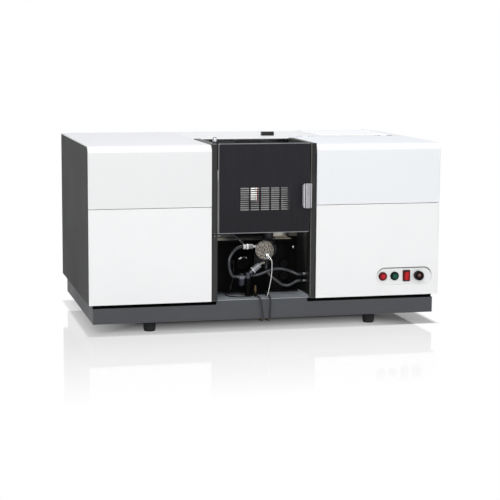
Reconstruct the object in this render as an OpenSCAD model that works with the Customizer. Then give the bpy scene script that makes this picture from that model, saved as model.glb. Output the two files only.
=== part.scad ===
// Flame atomic absorption spectrophotometer for the bench. A lamp unit stands on the left, a detector
// unit on the right, and between them is an open bay with the burner and its spray chamber.
// X runs to the right, Y to the back and Z up. The origin is on the bench, under the cabinet's middle.

/* [Cabinet] */
// Width over both side panels
body_w = 1020; // [1000:5:1060]
// Depth from the front panels to the rear panel
body_d = 610; // [600:5:640]
// Height of the covers' top above the bench
body_h = 527; // [520:1:540]
// Distance between the lamp unit and the detector unit
bay_w = 303; // [297:1:309]
// How far the middle of the bay stands left of the cabinet's middle
bay_off = 12.5; // [9:0.5:14]
// Height of the seam between the fixed front panels and the lids
seam_h = 354; // [346:1:362]
// Width of the seams between covers
seam = 1.4; // [0.8:0.1:2]
// Wall of the moulded covers
shell = 3; // [2.6:0.1:3.4]
// Radius of the covers' front top edge
edge_r = 20; // [14:1:23]
// Radius of the detector unit's outer front edge
side_r = 4; // [4:0.5:10]
// Height of the covers' skirts beside the bay
skirt_h = 26; // [22:1:32]
// Folded sheet of the frame, walls and trays
sheet = 2; // [1.6:0.1:2.4]

/* [Base and feet] */
// Height of the base tray
base_h = 55; // [50:1:62]
// Height of the dark recess between the base and both units
recess_h = 11; // [9:0.5:13]
// Depth of that recess
recess_d = 11; // [8:0.5:14]
// How far the base stands back under the cabinet's edges
base_inset = 12.5; // [8:0.5:18]
// Height of a foot
foot_h = 32; // [24:1:34]
// Diameter of a foot
foot_d = 35; // [30:1:44]
// How far a foot stands from its unit's middle towards the bay
foot_in_x = 6; // [0:1:20]
// Foot's centre from the cabinet's front or rear
foot_in_y = 60; // [50:1:80]

/* [Bay] */
// Width of the wall between the lamp unit and the bay
left_wall_w = 18; // [17:0.5:22]
// Width of the wall between the bay and the detector unit
right_wall_w = 15; // [14:0.5:19]
// How far the walls' front edges stand back from the front panels
wall_back = 5; // [4.5:0.5:7]
// Radius of the walls' front edges beside the bay
wall_round = 4; // [2:0.5:4.5]
// Depth of the lower bay
bay_depth = 150; // [144:1:156]
// Depth of the chimney over the burner
chimney_depth = 253; // [245:1:262]
// Height of the step between them
step_h = 280; // [276:1:283]
// Height of the heat shield over the spray chamber
shield_h = 248; // [247.5:0.5:252]
// Gap between the heat shield and the bay's right wall
shield_gap = 35.5; // [26:0.5:39.5]
// Height of the light beam above the bench
beam_h = 322; // [319:1:326]
// Radius of the beam windows
window_r = 17; // [14:0.5:18]

/* [Door] */
// Height of the door's lower edge
door_low = 278; // [274:1:282]
// How far the door's upper edge stands above the covers
door_rise = 4; // [3:0.5:8]
// Thickness of the door's front plate and of its edge flange
door_plate = 2; // [1.6:0.1:2.4]
// Gap between the door's free edge and the bay's right wall
door_gap = 6; // [0.6:0.2:7]
// Width of the bright edge round the front plate
door_edge = 2.5; // [1.5:0.1:3.5]
// Depth of the door's folded frame
door_depth = 16; // [12:1:18]
// Hinge axis behind the front panels
hinge_back = 8; // [7.5:0.1:9]
// Columns of cooling slots
vent_columns = 5; // [3:1:5]
// Rows of cooling slots
vent_rows = 11; // [5:1:12]
// Width of a slot
vent_w = 24.5; // [18:0.5:25]
// Height of a slot
vent_slot = 3.5; // [2:0.1:4]
// Distance between slot rows
vent_pitch = 6; // [5:0.1:6.4]
// Distance between slot columns
vent_step = 29.4; // [27:0.1:30]
// First slot column from the door's left edge
vent_in = 63; // [50:1:66]
// Height of the lowest slot
vent_low = 343; // [330:1:350]
// Width of the pull
pull_w = 25; // [20:1:28]
// Length of the pull
pull_h = 70; // [60:1:90]
// How far the pull stands out from the door
pull_d = 20; // [16:1:22]
// Height of the pull's lower end
pull_low = 348; // [336:1:360]
// How far the pull reaches past the door's free edge
pull_past = 3; // [0:0.5:6]

/* [Control panel] */
// Length of the sunk control field
field_w = 168; // [160:1:180]
// Height of the sunk control field
field_h = 50; // [46:1:56]
// Centre of the field from the cabinet's right side
field_in = 104; // [98:1:112]
// Height of the field's centre line
field_z = 143; // [130:1:160]
// Distance between the controls
control_pitch = 36; // [33:0.5:38]
// Diameter of a push button's cap
button_d = 20; // [17:0.5:21]
// How far a button stands out of its ring
button_out = 4.5; // [4:0.1:6]
// Travel of a button
button_travel = 3; // [2:0.1:3.5]
// Diameter of the ring round a button
ring_d = 25; // [24:0.5:27]
// Width of the rocker's frame
rocker_w = 22; // [20:0.5:24]
// Height of the rocker's frame
rocker_h = 33; // [30:0.5:36]
// Diameter of the control knob
knob_d = 27; // [24:0.5:30]
// Depth of the control knob
knob_h = 14; // [10:0.5:18]

/* [Covers on top] */
// Hinge seam of the right lid from the front
right_lid_d = 340; // [330:1:350]
// Side of the square service hatch
hatch_w = 232; // [200:2:240]
// Thickness of the hatch plate
hatch_t = 2; // [1.5:0.1:3]
// Hatch's right edge from the cabinet's right side
hatch_in = 30; // [20:1:40]
// Width of the latch block on the bridge plate
block_w = 38; // [30:1:46]
// Height of the latch block
block_h = 12; // [9:0.5:15]
// Depth of the latch block
block_d = 16; // [12:0.5:22]
// Block's front from the cabinet's front
block_in = 389; // [380:1:410]
// Block's right side from the detector unit
block_gap = 24; // [15:1:40]
// Outer radius of a lid hinge's knuckles
knuckle_r = 3.5; // [3:0.1:4]
// Radius of a lid hinge's pin
pin_r = 1.6; // [1.2:0.1:1.8]

/* [Burner and spray chamber] */
// Spray chamber's centre line above the bench
chamber_z = 222; // [221:0.5:224]
// Outer radius of the spray chamber
chamber_r = 24; // [22:0.5:25]
// Wall of the spray chamber
chamber_wall = 3; // [2:0.2:4]
// Length of the spray chamber behind its flange
chamber_len = 84; // [80:1:86]
// Turn of the chamber to the front left, in degrees
chamber_yaw = 24; // [20:1:27]
// Radius of the chamber's end flange
flange_r = 26.5; // [25.5:0.5:29]
// Radius of the knurled end cap
cap_r = 22; // [18:0.5:23]
// Ridges on the knurled end cap
cap_ridges = 40; // [24:2:60]
// Distance of the burner's stem behind the flange
neck_in = 65; // [60:1:67]
// Radius of the stem
neck_r = 14; // [13:0.5:16]
// Radius of the stem's bore
neck_bore = 11; // [9:0.5:11.5]
// Length of the burner head
burner_len = 118; // [106:1:124]
// Width of the burner head at its foot
burner_w = 30; // [26:1:34]
// Height of the burner head's top
burner_top = 311; // [308:1:313]
// Length of the flame slot
flame_slot = 100; // [80:1:102]
// Radius of the black adjusting knob
adjuster_r = 23; // [20:0.5:24]

/* [Lamps] */
// Lamps on the turret
lamp_count = 6; // [4:1:6]
// Radius of the circle that the lamps stand on
lamp_circle = 62; // [58:1:66]
// Radius of a lamp's glass
lamp_r = 18.5; // [16:0.5:19.5]
// Length of a lamp
lamp_len = 150; // [130:2:160]
// Thickness of a turret plate
turret_plate = 5; // [4:0.5:7]

/* [Fan] */
// Diameter of the fan's bore
fan_d = 112; // [90:2:114]
// Side of the fan's square frame
fan_frame_w = 120; // [118:1:130]
// Depth of the fan's frame
fan_depth = 25; // [20:1:32]
// Blades on the impeller
fan_blades = 7; // [5:1:9]

/* [Hidden] */

$fn = 48;
tiny = 0.01;
// Running clearance on the radius of a pin or shaft, and the gap that parts keep at rest
run_gap = 0.05;
rest_gap = 0.4;

// Cabinet planes
x_left = -body_w/2;
x_right = body_w/2;
y_front = -body_d/2;
y_rear = body_d/2;
x_unit_l = -bay_off - bay_w/2;
x_unit_r = -bay_off + bay_w/2;
bay_l = x_unit_l + left_wall_w;
bay_r = x_unit_r - right_wall_w;
bay_mid = (bay_l + bay_r)/2;
deck_z = foot_h + base_h;
deck_top = deck_z + sheet;
floor_top = deck_z + sheet;
// Width of the tray's upstand beside the right wall
tray_lip = 6;
lid_low = seam_h + seam/2;
panel_high = seam_h - seam/2;
skirt_z = body_h - skirt_h;
under_lid = body_h - shell;
y_wall = y_front + wall_back;
y_bay_back = y_front + bay_depth;
y_chimney = y_front + chimney_depth;
y_inside = y_front + shell;
side_front = y_inside + rest_gap;
// Depth of the detector unit's covers round its outer corner
return_d = 24;

// Door
door_high = body_h + door_rise;
door_l = bay_l + 0.6;
door_r = bay_r - door_gap;
hinge_x = bay_l - left_wall_w/2;
hinge_y = y_front + hinge_back;
door_back = y_front + door_depth;
door_arm_r = 6.5;
door_pin_r = 2.5;
door_arm_t = 4;
frame_in = 16;

// Control field
field_x = x_right - field_in;
control_x = [for (i = [-1.5:1:1.5]) field_x + i*control_pitch - 11];
plate_front = y_front + shell;
ring_t = 2;

// Burner group: local u runs to the right and v to the back along the chamber
chamber_x = 2;
chamber_y = y_front + 53;
neck_x = chamber_x + neck_in*sin(chamber_yaw);
neck_y = chamber_y + neck_in*cos(chamber_yaw);
seat_z = chamber_z + 62;

// Lid hinges
left_hinge_y = y_rear + knuckle_r + 0.5;
left_hinge_z = body_h - knuckle_r;
right_hinge_y = y_front + right_lid_d;
right_hinge_z = body_h - 1.5;

// Lamp unit
turret_y = neck_y;
turret_z = beam_h + lamp_circle;
turret_r = lamp_circle + lamp_r + 9;
lamp_x = x_left + 92;
bench_z = beam_h - lamp_r - 34;
bench_t = 12;

// Fan
fan_x = x_right - 110;
fan_z = body_h - 107;
fan_hub_r = 20;

// Fittings in the bay
union_x = chamber_x - 46;
union_y = chamber_y + 13.4;
union_z = level(148);
trap_x = union_x - 18.6;
coupling_y = chamber_y + 22;
coupling_z = level(230);
adjuster_x = chamber_x - 55;
adjuster_y = chamber_y + 26;
adjuster_z = level(180);
valve_x = bay_r - 42.5;
valve_r = 12;
fuel_z = level(169);
air_z = level(133);
plug_from = [-60, y_front + 70, level(243)];
stud_from = [-50, coupling_y, coupling_z + 3];
gland_y = y_front + 55;
cock = [chamber_x - 24, y_front + 66];
cable_port_y = y_front + 69;

// Routes of the hoses, the capillary and the cables. As written, X is a true place, Y is counted back
// from the front panels, and Z belongs to a tray at 89 and a spray chamber at 222.
function level(z) = z < 89 ? z*floor_top/89 : floor_top + (z - 89)*(chamber_z - floor_top)/133;
// Lays a route out, its X stretched by s about x0
function laid(route, x0 = 0, s = 1) = [for (p = route) [x0 + (p[0] - x0)*s, y_front + p[1], level(p[2])]];

air_route = laid([[-56, 75, 230], [-64, 75, 230], [-77, 73, 225], [-90, 69, 213], [-99, 65, 197],
    [-101, 62, 180], [-98, 62, 164], [-92, 65, 151], [-84.6, 66.4, 146], [-77.6, 66.4, 146]]);
upper_route = laid([[-30.5, 66.4, 148], [-22, 66.4, 148], [-10, 64, 151], [2, 61, 156], [24, 59, 164],
    [44, 61, 166], [63, 64, 163], [83, 62, 157], [101, 55, 149], [115.5, 55, 149]], -30.5, (bay_r + 22)/146);
lower_route = laid([[12, 73, 176], [12, 73, 168], [15, 73, 157], [22, 72, 147], [34, 70, 136],
    [47, 69, 126], [60, 67, 118], [77, 62, 117], [100, 55, 130], [115.5, 55, 130]], 12,
    (bay_r - 20.5)/103.5);
capillary_route = laid([[11.5, 20, 200], [12.2, 18.3, 199.2], [13.6, 17, 196], [14.4, 17, 189], [14.6, 18, 178],
    [14.4, 20, 158], [12, 21, 138], [8.5, 21, 120], [4.5, 20, 103], [0, 18, 93.5], [-7, 16, 90.4],
    [-14, 18, 90.3], [-20, 17, 90.3]]);
igniter_route = laid([[-140, 55, 262], [-131, 55, 262], [-118, 56, 266], [-104, 57, 268], [-91, 59, 266],
    [-81, 60.5, 261], [-75, 62.5, 257], [-70, 65, 252]], -70, (-76 - bay_l)/70);
floor_route = laid([[-68, 144, 176], [-68, 139, 176], [-69, 135, 168], [-71, 138, 140], [-75, 139, 112],
    [-81, 135, 96], [-90, 123, 91], [-101, 103, 91], [-106, 80, 91], [-98, 57, 91], [-78, 44, 91],
    [-56, 41, 91], [-36, 52, 91], [-29, 67, 91], [-36, 83, 91], [-54, 90, 91], [-76, 91, 91],
    [-98, 86, 93], [-122, 69, 101], [-140, 69, 101]], -68, (-74 - bay_l)/72);
left_drain_route = laid([[-26, 43, 95], [-26, 33, 95], [-25, 21, 94], [-23, 12, 92.5], [-21, 6, 86],
    [-18, 6, 70], [-15, 7, 48], [-13, 9, 30], [-12, 17, 23], [-12, 27, 22], [-12, 37, 22]]);
right_drain_route = laid([[8, 43, 95], [8, 33, 95], [8, 21, 94], [8, 12, 92.5], [8, 6, 86], [8, 6, 70],
    [7, 7, 48], [7, 9, 30], [7, 17, 23], [7, 27, 22], [7, 37, 22]]);
port_y = y_front + 55;
upper_port_z = last(upper_route)[2];
lower_port_z = last(lower_route)[2];
gland_z = igniter_route[0][2];
cable_port_z = last(floor_route)[2];
hose_r = 4.6;
cable_r = 1.6;
capillary_r = 1;
drain_tube_r = 2;

function last(list) = list[len(list) - 1];

// Range of half-width h about a middle m
function about(m, h) = [m - h, m + h];

// Block between two corners given as ranges
module slab(x, y, z) {
    translate([x[0], y[0], z[0]])
        cube([x[1] - x[0], y[1] - y[0], z[1] - z[0]]);
}

// Outline in Y and Z, drawn out along X
module along_x(x) {
    translate([x[0], 0, 0])
        rotate([90, 0, 90])
            linear_extrude(x[1] - x[0]) children();
}

// Outline in X and Z, drawn out along Y
module along_y(y) {
    translate([0, y[1], 0])
        rotate([90, 0, 0])
            linear_extrude(y[1] - y[0]) children();
}

// Outline in X and Y, drawn out along Z
module along_z(z) {
    translate([0, 0, z[0]])
        linear_extrude(z[1] - z[0]) children();
}

module rod_x(x, y, z, r) {
    translate([x[0], y, z])
        rotate([0, 90, 0])
            cylinder(h = x[1] - x[0], r = r);
}

module rod_y(x, y, z, r) {
    translate([x, y[1], z])
        rotate([90, 0, 0])
            cylinder(h = y[1] - y[0], r = r);
}

module rod_z(x, y, z, r) {
    translate([x, y, z[0]])
        cylinder(h = z[1] - z[0], r = r);
}

// Stands what is drawn along Z between two points
module between(p, q) {
    d = q - p;
    translate(p)
        rotate([0, acos(d[2]/norm(d)), atan2(d[1], d[0])])
            children();
}

module box_2d(a, b) {
    translate([a[0], b[0]])
        square([a[1] - a[0], b[1] - b[0]]);
}

// Rectangle with all four corners round
module round_box_2d(a, b, r) {
    difference() {
        box_2d(a, b);
        for (sx = [0, 1], sy = [0, 1])
            translate([a[sx], b[sy]])
                mirror([sx, 0])
                    mirror([0, sy])
                        corner_cut_2d(r);
    }
}

// What a round of radius r takes off a corner at the origin that opens towards +X and +Y
module corner_cut_2d(r) {
    difference() {
        translate([-1, -1]) square(r + 1);
        translate([r, r]) circle(r);
    }
}

// Rectangle in Y and Z whose front top corner is round
module front_round_2d(y, z, r) {
    difference() {
        box_2d(y, z);
        translate([y[0], z[1]])
            mirror([0, 1])
                corner_cut_2d(r);
    }
}

// Rectangle in X and Y whose right front corner is round
module right_round_2d(x, y, r) {
    difference() {
        box_2d(x, y);
        translate([x[1], y[0]])
            mirror([1, 0])
                corner_cut_2d(r);
    }
}

// Plan of a bay wall from its front edge to y1, its corner beside the bay round
module wall_plan_2d(x, y1) {
    right = x[0] > bay_mid ? 1 : 0;
    mirror([right, 0])
        right_round_2d(right == 1 ? [-x[1], -x[0]] : x, [y_wall, y1], wall_round);
}

// A tube swept along a route, one ring at each of the route's points
function unit(v) = v/norm(v);
function heading(p, i) = unit(p[min(i + 1, len(p) - 1)] - p[max(i - 1, 0)]);
function square_to(v, t) = unit(v - (v*t)*t);
function carried(p, i, s) = i == len(p) ? [] :
    let (s1 = square_to(s, heading(p, i))) concat([s1], carried(p, i + 1, s1));

module tube(route, r, sides = 8) {
    rings = len(route);
    side = carried(route, 0, [0.2, 0.9, 0.3]);
    points = [for (i = [0:rings - 1], k = [0:sides - 1])
        let (a = 360*k/sides, s = side[i], u = cross(heading(route, i), s))
        route[i] + r*(cos(a)*s + sin(a)*u)];
    walls = [for (i = [0:rings - 2], k = [0:sides - 1])
        let (k1 = (k + 1) % sides, a = i*sides, b = a + sides)
        each [[a + k, b + k, b + k1], [a + k, b + k1, a + k1]]];
    first_cap = [[for (k = [0:sides - 1]) k]];
    last_cap = [[for (k = [sides - 1:-1:0]) (rings - 1)*sides + k]];
    polyhedron(points, concat(first_cap, walls, last_cap));
}

// Places what is drawn in the spray chamber's own frame, its axis along Y
module on_chamber() {
    translate([chamber_x, chamber_y, chamber_z])
        rotate([0, 0, -chamber_yaw])
            children();
}

// Base and frame

module base_chassis() {
    outer_x = [x_left + base_inset, x_right - base_inset];
    outer_y = [y_front + base_inset, y_rear - base_inset];
    slot_pitch = 12;
    recess_x = [[outer_x[0] - 1, bay_l - sheet], [bay_r - tray_lip, outer_x[1] + 1]];
    recess_y = outer_y[0] + recess_d;
    recess_z = deck_z - recess_h;
    color("#4d4e51")
        difference() {
            union() {
                difference() {
                    slab(outer_x, outer_y, [foot_h, deck_z]);
                    slab([outer_x[0] + sheet, outer_x[1] - sheet], [outer_y[0] + sheet, outer_y[1] - sheet],
                        [foot_h + sheet, deck_z + 1]);
                }
                // Ledge, back and inner ends of the front recess
                for (x = [[outer_x[0], bay_l], [bay_r - tray_lip - sheet, outer_x[1]]])
                    slab(x, [outer_y[0], recess_y + sheet], [recess_z - sheet, deck_z]);
                // Cross ribs under the bay's walls and the middle
                for (x = [x_unit_l + 4, x_unit_r - 4 - sheet])
                    slab([x, x + sheet], outer_y, [foot_h, deck_z]);
                slab(outer_x, [y_bay_back + 2, y_bay_back + 2 + sheet], [foot_h, deck_z]);
                // Deck under both units and behind the bay
                difference() {
                    along_z([deck_z, deck_top])
                        right_round_2d([x_left + shell, x_right - shell], [side_front, y_rear - shell],
                            side_r - shell);
                    slab([bay_l, bay_r], [side_front - 1, y_bay_back], [deck_z - 1, deck_top + 1]);
                }
            }
            for (x = recess_x)
                slab(x, [outer_y[0] - 1, recess_y], [recess_z, deck_z]);
            // Cable openings in the deck
            slab([x_left + 90, x_unit_l - 90], [y_bay_back + 130, y_rear - 90], [deck_z - 1, deck_top + 1]);
            slab([x_unit_r + 60, x_unit_r + 130], [y_bay_back + 130, y_rear - 90], [deck_z - 1, deck_top + 1]);
            // Air slots in the tray's floor
            for (side = [-1, 1], i = [0:7])
                translate([side*(body_w/2 - 100), (i - 3.5)*slot_pitch*2, foot_h - 1])
                    linear_extrude(sheet + 2)
                        round_box_2d([-40, 40], [-3, 3], 2.9);
            // Bolt holes over the feet
            for (x = foot_places_x(), y = foot_places_y())
                rod_z(x, y, [foot_h - 1, foot_h + sheet + 1], 3);
        }
}

function foot_places_x() = [(x_left + x_unit_l)/2 + foot_in_x, (x_unit_r + x_right)/2 - foot_in_x];
function foot_places_y() = [y_front + foot_in_y, y_rear - foot_in_y];

module feet() {
    color("#1b1b1c")
        for (x = foot_places_x(), y = foot_places_y())
            translate([x, y, 0])
                rotate_extrude()
                    polygon([[3, foot_h], [3, 12], [8, 12], [8, 0], [foot_d/2 - 3, 0], [foot_d/2 - 1.5, 1.5],
                        [foot_d/2, 10], [foot_d/2, foot_h - 3], [foot_d/2 - 2, foot_h]]);
}

// Pan head and shank, the head's seat at the origin and the head towards +Z
module screw(shank) {
    rotate_extrude($fn = 24)
        polygon([[0, -shank], [1.9, -shank], [1.9, 0], [4.2, 0], [4.2, 1.3], [3.4, 2.3], [2, 2.9], [0, 3]]);
}

module screws() {
    color("#b9bcc0") {
        for (x = foot_places_x(), y = foot_places_y())
            translate([x, y, 12])
                rotate([180, 0, 0])
                    screw(foot_h - 12 + sheet);
        for (at = hatch_screws())
            translate([at[0], at[1], body_h + hatch_t])
                screw(hatch_t + shell);
        for (x = rear_screws_x(), z = [deck_z + 14, under_lid - 40])
            translate([x, y_rear, z])
                rotate([-90, 0, 0])
                    screw(shell);
        translate(bay_screw())
            rotate([90, 0, 0])
                screw(sheet);
    }
}

function bay_screw() = [bay_r - 10, y_bay_back, level(214)];
function rear_screws_x() = [x_left + 12, x_unit_l - 12, x_unit_l + 12, x_unit_r - 12, x_unit_r + 12,
    x_right - 12];
function hatch_range() = [[x_right - hatch_in - hatch_w, x_right - hatch_in],
    [y_rear - 6 - hatch_w, y_rear - 6]];
function hatch_screws() = [for (i = [0, 1], j = [0, 1])
    [hatch_range()[0][i] + (1 - 2*i)*12, hatch_range()[1][j] + (1 - 2*j)*12]];

// Square posts and rails inside both units, under the lids
module chassis_frame() {
    post = 16;
    post_high = under_lid - 6;
    front_y = y_front + edge_r + 8;
    rear_y = y_rear - shell - post;
    color("#9b9ea2")
        for (unit = [[x_left + shell + 2, x_unit_l - shell - 2], [x_unit_r + shell + 2, x_right - shell - 2]]) {
            inner = unit[0] < 0 ? [unit[1], x_unit_l] : [x_unit_r, unit[0]];
            outer = unit[0] < 0 ? [unit[0] - 2, unit[0]] : [unit[1], unit[1] + 2];
            difference() {
                union() {
                    for (x = [unit[0], unit[1] - post], y = [front_y, rear_y])
                        slab([x, x + post], [y, y + post], [deck_top, post_high]);
                    for (x = [unit[0], unit[1] - post])
                        slab([x, x + post], [front_y, rear_y + post], [post_high - post, post_high]);
                    slab(unit, [rear_y, rear_y + post], [post_high - post, post_high]);
                    slab(unit, [front_y, front_y + post], [bench_z - 50, bench_z - 50 + post]);
                }
                // The posts are tubes
                for (x = [unit[0], unit[1] - post], y = [front_y, rear_y])
                    slab([x + sheet, x + post - sheet], [y + sheet, y + post - sheet],
                        [deck_top - 1, post_high - post - sheet]);
            }
            // Tabs that carry the side panels and the bay's walls
            for (x = [inner, outer], y = [front_y + 2, rear_y + 2], z = [deck_top + 91, skirt_z - 41])
                slab(x, [y, y + 12], [z, z + 24]);
        }
}

// Cast bench that carries the lamps and the monochromator, joined behind the burner
module optical_bench() {
    wing_l = [x_left + 30, x_unit_l - 8];
    wing_r = [x_unit_r + 8, x_right - 30];
    wing_y = [y_front + 46, y_chimney + 20];
    spine_y = [y_chimney + 20, y_chimney + 70];
    spine_x = [wing_l[0], wing_r[1]];
    leg = 18;
    color("#8d9195") {
        difference() {
            union() {
                slab(wing_l, wing_y, [bench_z - bench_t, bench_z]);
                slab(wing_r, wing_y, [bench_z - bench_t, bench_z]);
                slab([x_left + 30, x_unit_l - 4], spine_y, [bench_z - bench_t, bench_z]);
                slab([x_unit_r + 4, x_right - 30], spine_y, [bench_z - bench_t, bench_z]);
                // Ribs under the wings
                for (w = [wing_l, wing_r], i = [1:3])
                    slab([w[0] + i*(w[1] - w[0])/4 - 3, w[0] + i*(w[1] - w[0])/4 + 3], wing_y,
                        [bench_z - bench_t - 14, bench_z - bench_t]);
                for (w = [wing_l, wing_r], x = [w[0] + 4, w[1] - 4 - leg],
                    y = [wing_y[0] + 4, spine_y[1] - 4 - leg])
                    slab([x, x + leg], [y, y + leg], [deck_top, bench_z - bench_t]);
            }
            for (w = [wing_l, wing_r], i = [0:3])
                rod_z(w[0] + (i + 0.5)*(w[1] - w[0])/4, wing_y[0] + 14,
                    [bench_z - bench_t - 1, bench_z + 1], 4);
        }
        // The spine passes through the bay's walls
        slab(spine_x, [spine_y[0] + 12, spine_y[1] - 12], [bench_z - bench_t - 10, bench_z - bench_t]);
    }
}

// Covers

module left_front_panel() {
    x = [x_left, x_unit_l - seam/2];
    fold = 12;
    color("#eeeeee") {
        slab(x, [y_front, y_inside], [deck_z, panel_high]);
        for (z = [deck_top + rest_gap, panel_high - sheet])
            slab([x[0] + shell + 1, x[1] - 4], [y_inside, y_inside + fold], [z, z + sheet]);
    }
}

module left_side_panel() {
    color("#4b4b4c") {
        along_x([x_left, x_left + shell])
            front_round_2d([side_front, y_rear - shell], [deck_z, under_lid - rest_gap], edge_r - shell);
        // Stiffening folds inside
        for (z = [deck_top + 60, skirt_z - 60])
            slab([x_left + shell, x_left + shell + sheet], [y_front + 60, y_rear - 60], [z, z + 18]);
    }
}

module stadium_2d(x, z, w, h) {
    r = h/2;
    box_2d(about(x, w/2 - r), about(z, r));
    for (s = [-1, 1])
        translate([x + s*(w/2 - r), z]) circle(r);
}

module right_front_panel() {
    x = [x_unit_r + seam/2, x_right];
    fold = 12;
    color("#eeeeee")
        difference() {
            union() {
                along_z([deck_z, panel_high])
                    difference() {
                        right_round_2d(x, [y_front, y_front + return_d], side_r);
                        right_round_2d([x[0] - 1, x[1] - shell], [y_inside, y_front + return_d + 1],
                            side_r - shell);
                    }
                for (z = [deck_top + rest_gap, panel_high - sheet])
                    slab([x[0] + 4, x[1] - return_d], [y_inside - 1, y_inside + fold], [z, z + sheet]);
            }
            along_y([y_front - 1, y_inside + 0.001])
                stadium_2d(field_x, field_z, field_w, field_h);
        }
}

module right_side_panel() {
    color("#4b4b4c") {
        slab([x_right - shell, x_right], [y_front + return_d + seam/2, y_rear - shell],
            [deck_z, under_lid - rest_gap]);
        for (z = [deck_top + 60, skirt_z - 60])
            slab([x_right - shell - sheet, x_right - shell], [y_front + 60, y_rear - 60], [z, z + 18]);
    }
}

// One sheet across the back with louvres, the fan's opening and the ports' holes
module rear_panel() {
    louvre_w = 70;
    louvre_h = 5;
    through = [y_rear - shell - 1, y_rear + 1];
    color("#56575a")
        difference() {
            slab([x_left, x_right], [y_rear - shell, y_rear], [deck_z, under_lid - seam/2]);
            rod_y(fan_x, through, fan_z, fan_d/2 - 1);
            for (unit = [(x_left + x_unit_l)/2, x_unit_r + 90], i = [0:9], s = [-1, 1])
                translate([unit + s*(louvre_w/2 + 6), 0, skirt_z - 70 - i*12])
                    along_y(through)
                        round_box_2d([-louvre_w/2, louvre_w/2], [-louvre_h/2, louvre_h/2], louvre_h/2 - 0.1);
            for (x = port_places())
                rod_y(x, through, port_z, 6.5);
            along_y(through)
                round_box_2d(about(inlet_x, 14), about(port_z, 10.5), 3);
            for (x = rear_screws_x(), z = [deck_z + 14, under_lid - 40])
                rod_y(x, through, z, 2);
        }
}

port_z = deck_z + 60;
inlet_x = x_right - 90;
function port_places() = [for (i = [-1:1]) bay_mid + i*46];

// Solid form of a lid, drawn in by inset, its seam end at y1
module lid_form(x, y1, inset) {
    along_x([x[0] + inset, x[1] - inset])
        front_round_2d([y_front + inset, y1], [lid_low - (inset > 0 ? 1 : 0), body_h - inset], edge_r - inset);
}

// Knuckles on one body's share of a hinge line, with a tongue from the knuckle towards the cover
module knuckles(places, y, z, r, tongue_y, tongue_z) {
    difference() {
        union()
            for (x = places) {
                rod_x(x, y, z, r);
                slab(x, tongue_y, tongue_z);
            }
        for (x = places)
            rod_x([x[0] - 1, x[1] + 1], y, z, pin_r + run_gap);
    }
}

// Two hinges of three knuckles across a range, as the ranges of the middle or of the outer ones
knuckle_len = 18;
function hinge_centres(x) = [x[0] + 60, x[1] - 60];
function moving_knuckles(x) = [for (c = hinge_centres(x)) about(c, knuckle_len/2)];
function fixed_knuckles(x) = [for (c = hinge_centres(x), s = [-1, 1])
    let (m = c + s*(knuckle_len + 0.3)) about(m, knuckle_len/2)];

function left_lid_x() = [x_left, x_unit_l - seam/2];
function right_lid_x() = [x_unit_r + seam/2, x_right];

module left_lid() {
    x = left_lid_x();
    skirt_end = y_rear - shell - 1;
    color("#f1f2f4") {
        difference() {
            lid_form(x, y_rear, 0);
            // The outer side is open, and the inner side below its skirt
            lid_form([x[0] - shell - 1, x[1]], y_rear + 1, shell);
            slab([x[1] - shell - 1, x[1] + 1], [y_inside, y_rear + 1], [lid_low - 2, skirt_z]);
            slab([x[0] - 1, x[1] + 1], [skirt_end, y_rear + 1], [lid_low - 2, under_lid]);
        }
        knuckles(moving_knuckles(x), left_hinge_y, left_hinge_z, knuckle_r,
            [y_rear - 1, left_hinge_y], [under_lid, body_h]);
    }
}

module right_lid() {
    x = right_lid_x();
    y1 = right_hinge_y - knuckle_r - 5;
    color("#f1f2f4") {
        difference() {
            intersection() {
                lid_form(x, y1, 0);
                along_z([lid_low - 1, body_h + 1])
                    right_round_2d(x, [y_front, y1], side_r);
            }
            intersection() {
                lid_form(x, y1 + 1, shell);
                along_z([lid_low - 2, body_h + 1])
                    right_round_2d([x[0], x[1] - shell], [y_inside, y1 + 1], side_r - shell);
            }
            slab([x[0] - 1, x[0] + shell + 1], [y_inside, y1 + 1], [lid_low - 2, skirt_z]);
            slab([x[1] - shell - 1, x[1] + 1], [y_front + return_d, y1 + 1], [lid_low - 2, under_lid]);
        }
        knuckles(moving_knuckles(x), right_hinge_y, right_hinge_z, knuckle_r - 0.5,
            [y1 - 1, right_hinge_y], [under_lid, body_h]);
    }
}

// Fixed halves of both lids' hinges
module lid_hinges() {
    leaf = 1.5;
    color("#a9acb0") {
        knuckles(fixed_knuckles(left_lid_x()), left_hinge_y, left_hinge_z, knuckle_r,
            [y_rear, y_rear + leaf], [left_hinge_z - 24, left_hinge_z]);
        for (c = hinge_centres(left_lid_x()))
            slab(about(c, knuckle_len/2 + 1), [y_rear, y_rear + leaf],
                [left_hinge_z - 24, left_hinge_z - knuckle_r - 1]);
        knuckles(fixed_knuckles(right_lid_x()), right_hinge_y, right_hinge_z, knuckle_r - 0.5,
            [right_hinge_y, right_hinge_y + knuckle_r + 1], [under_lid - leaf, under_lid]);
        for (c = hinge_centres(right_lid_x()))
            slab(about(c, 1.5*knuckle_len + 0.3),
                [right_hinge_y + knuckle_r, right_hinge_y + 28], [under_lid - leaf, under_lid]);
    }
}

// Pins of both lids' hinges and of the door
module hinge_pins() {
    reach = 1.5*knuckle_len + 1.5;
    color("#c8cacd") {
        for (c = hinge_centres(left_lid_x()))
            rod_x(about(c, reach), left_hinge_y, left_hinge_z, pin_r);
        for (c = hinge_centres(right_lid_x()))
            rod_x(about(c, reach), right_hinge_y, right_hinge_z, pin_r);
        rod_z(hinge_x, hinge_y, [body_h - 10, body_h + 15], door_pin_r);
        rod_z(hinge_x, hinge_y, [door_low - 14, door_low + 8], door_pin_r);
        // Cap on the upper pin
        translate([hinge_x, hinge_y, door_high + door_arm_t + rest_gap])
            rotate_extrude($fn = 32)
                polygon([[0, 0], [5, 0], [5.5, 0.6], [5.5, 10], [4, 13], [0, 14]]);
    }
}

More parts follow.
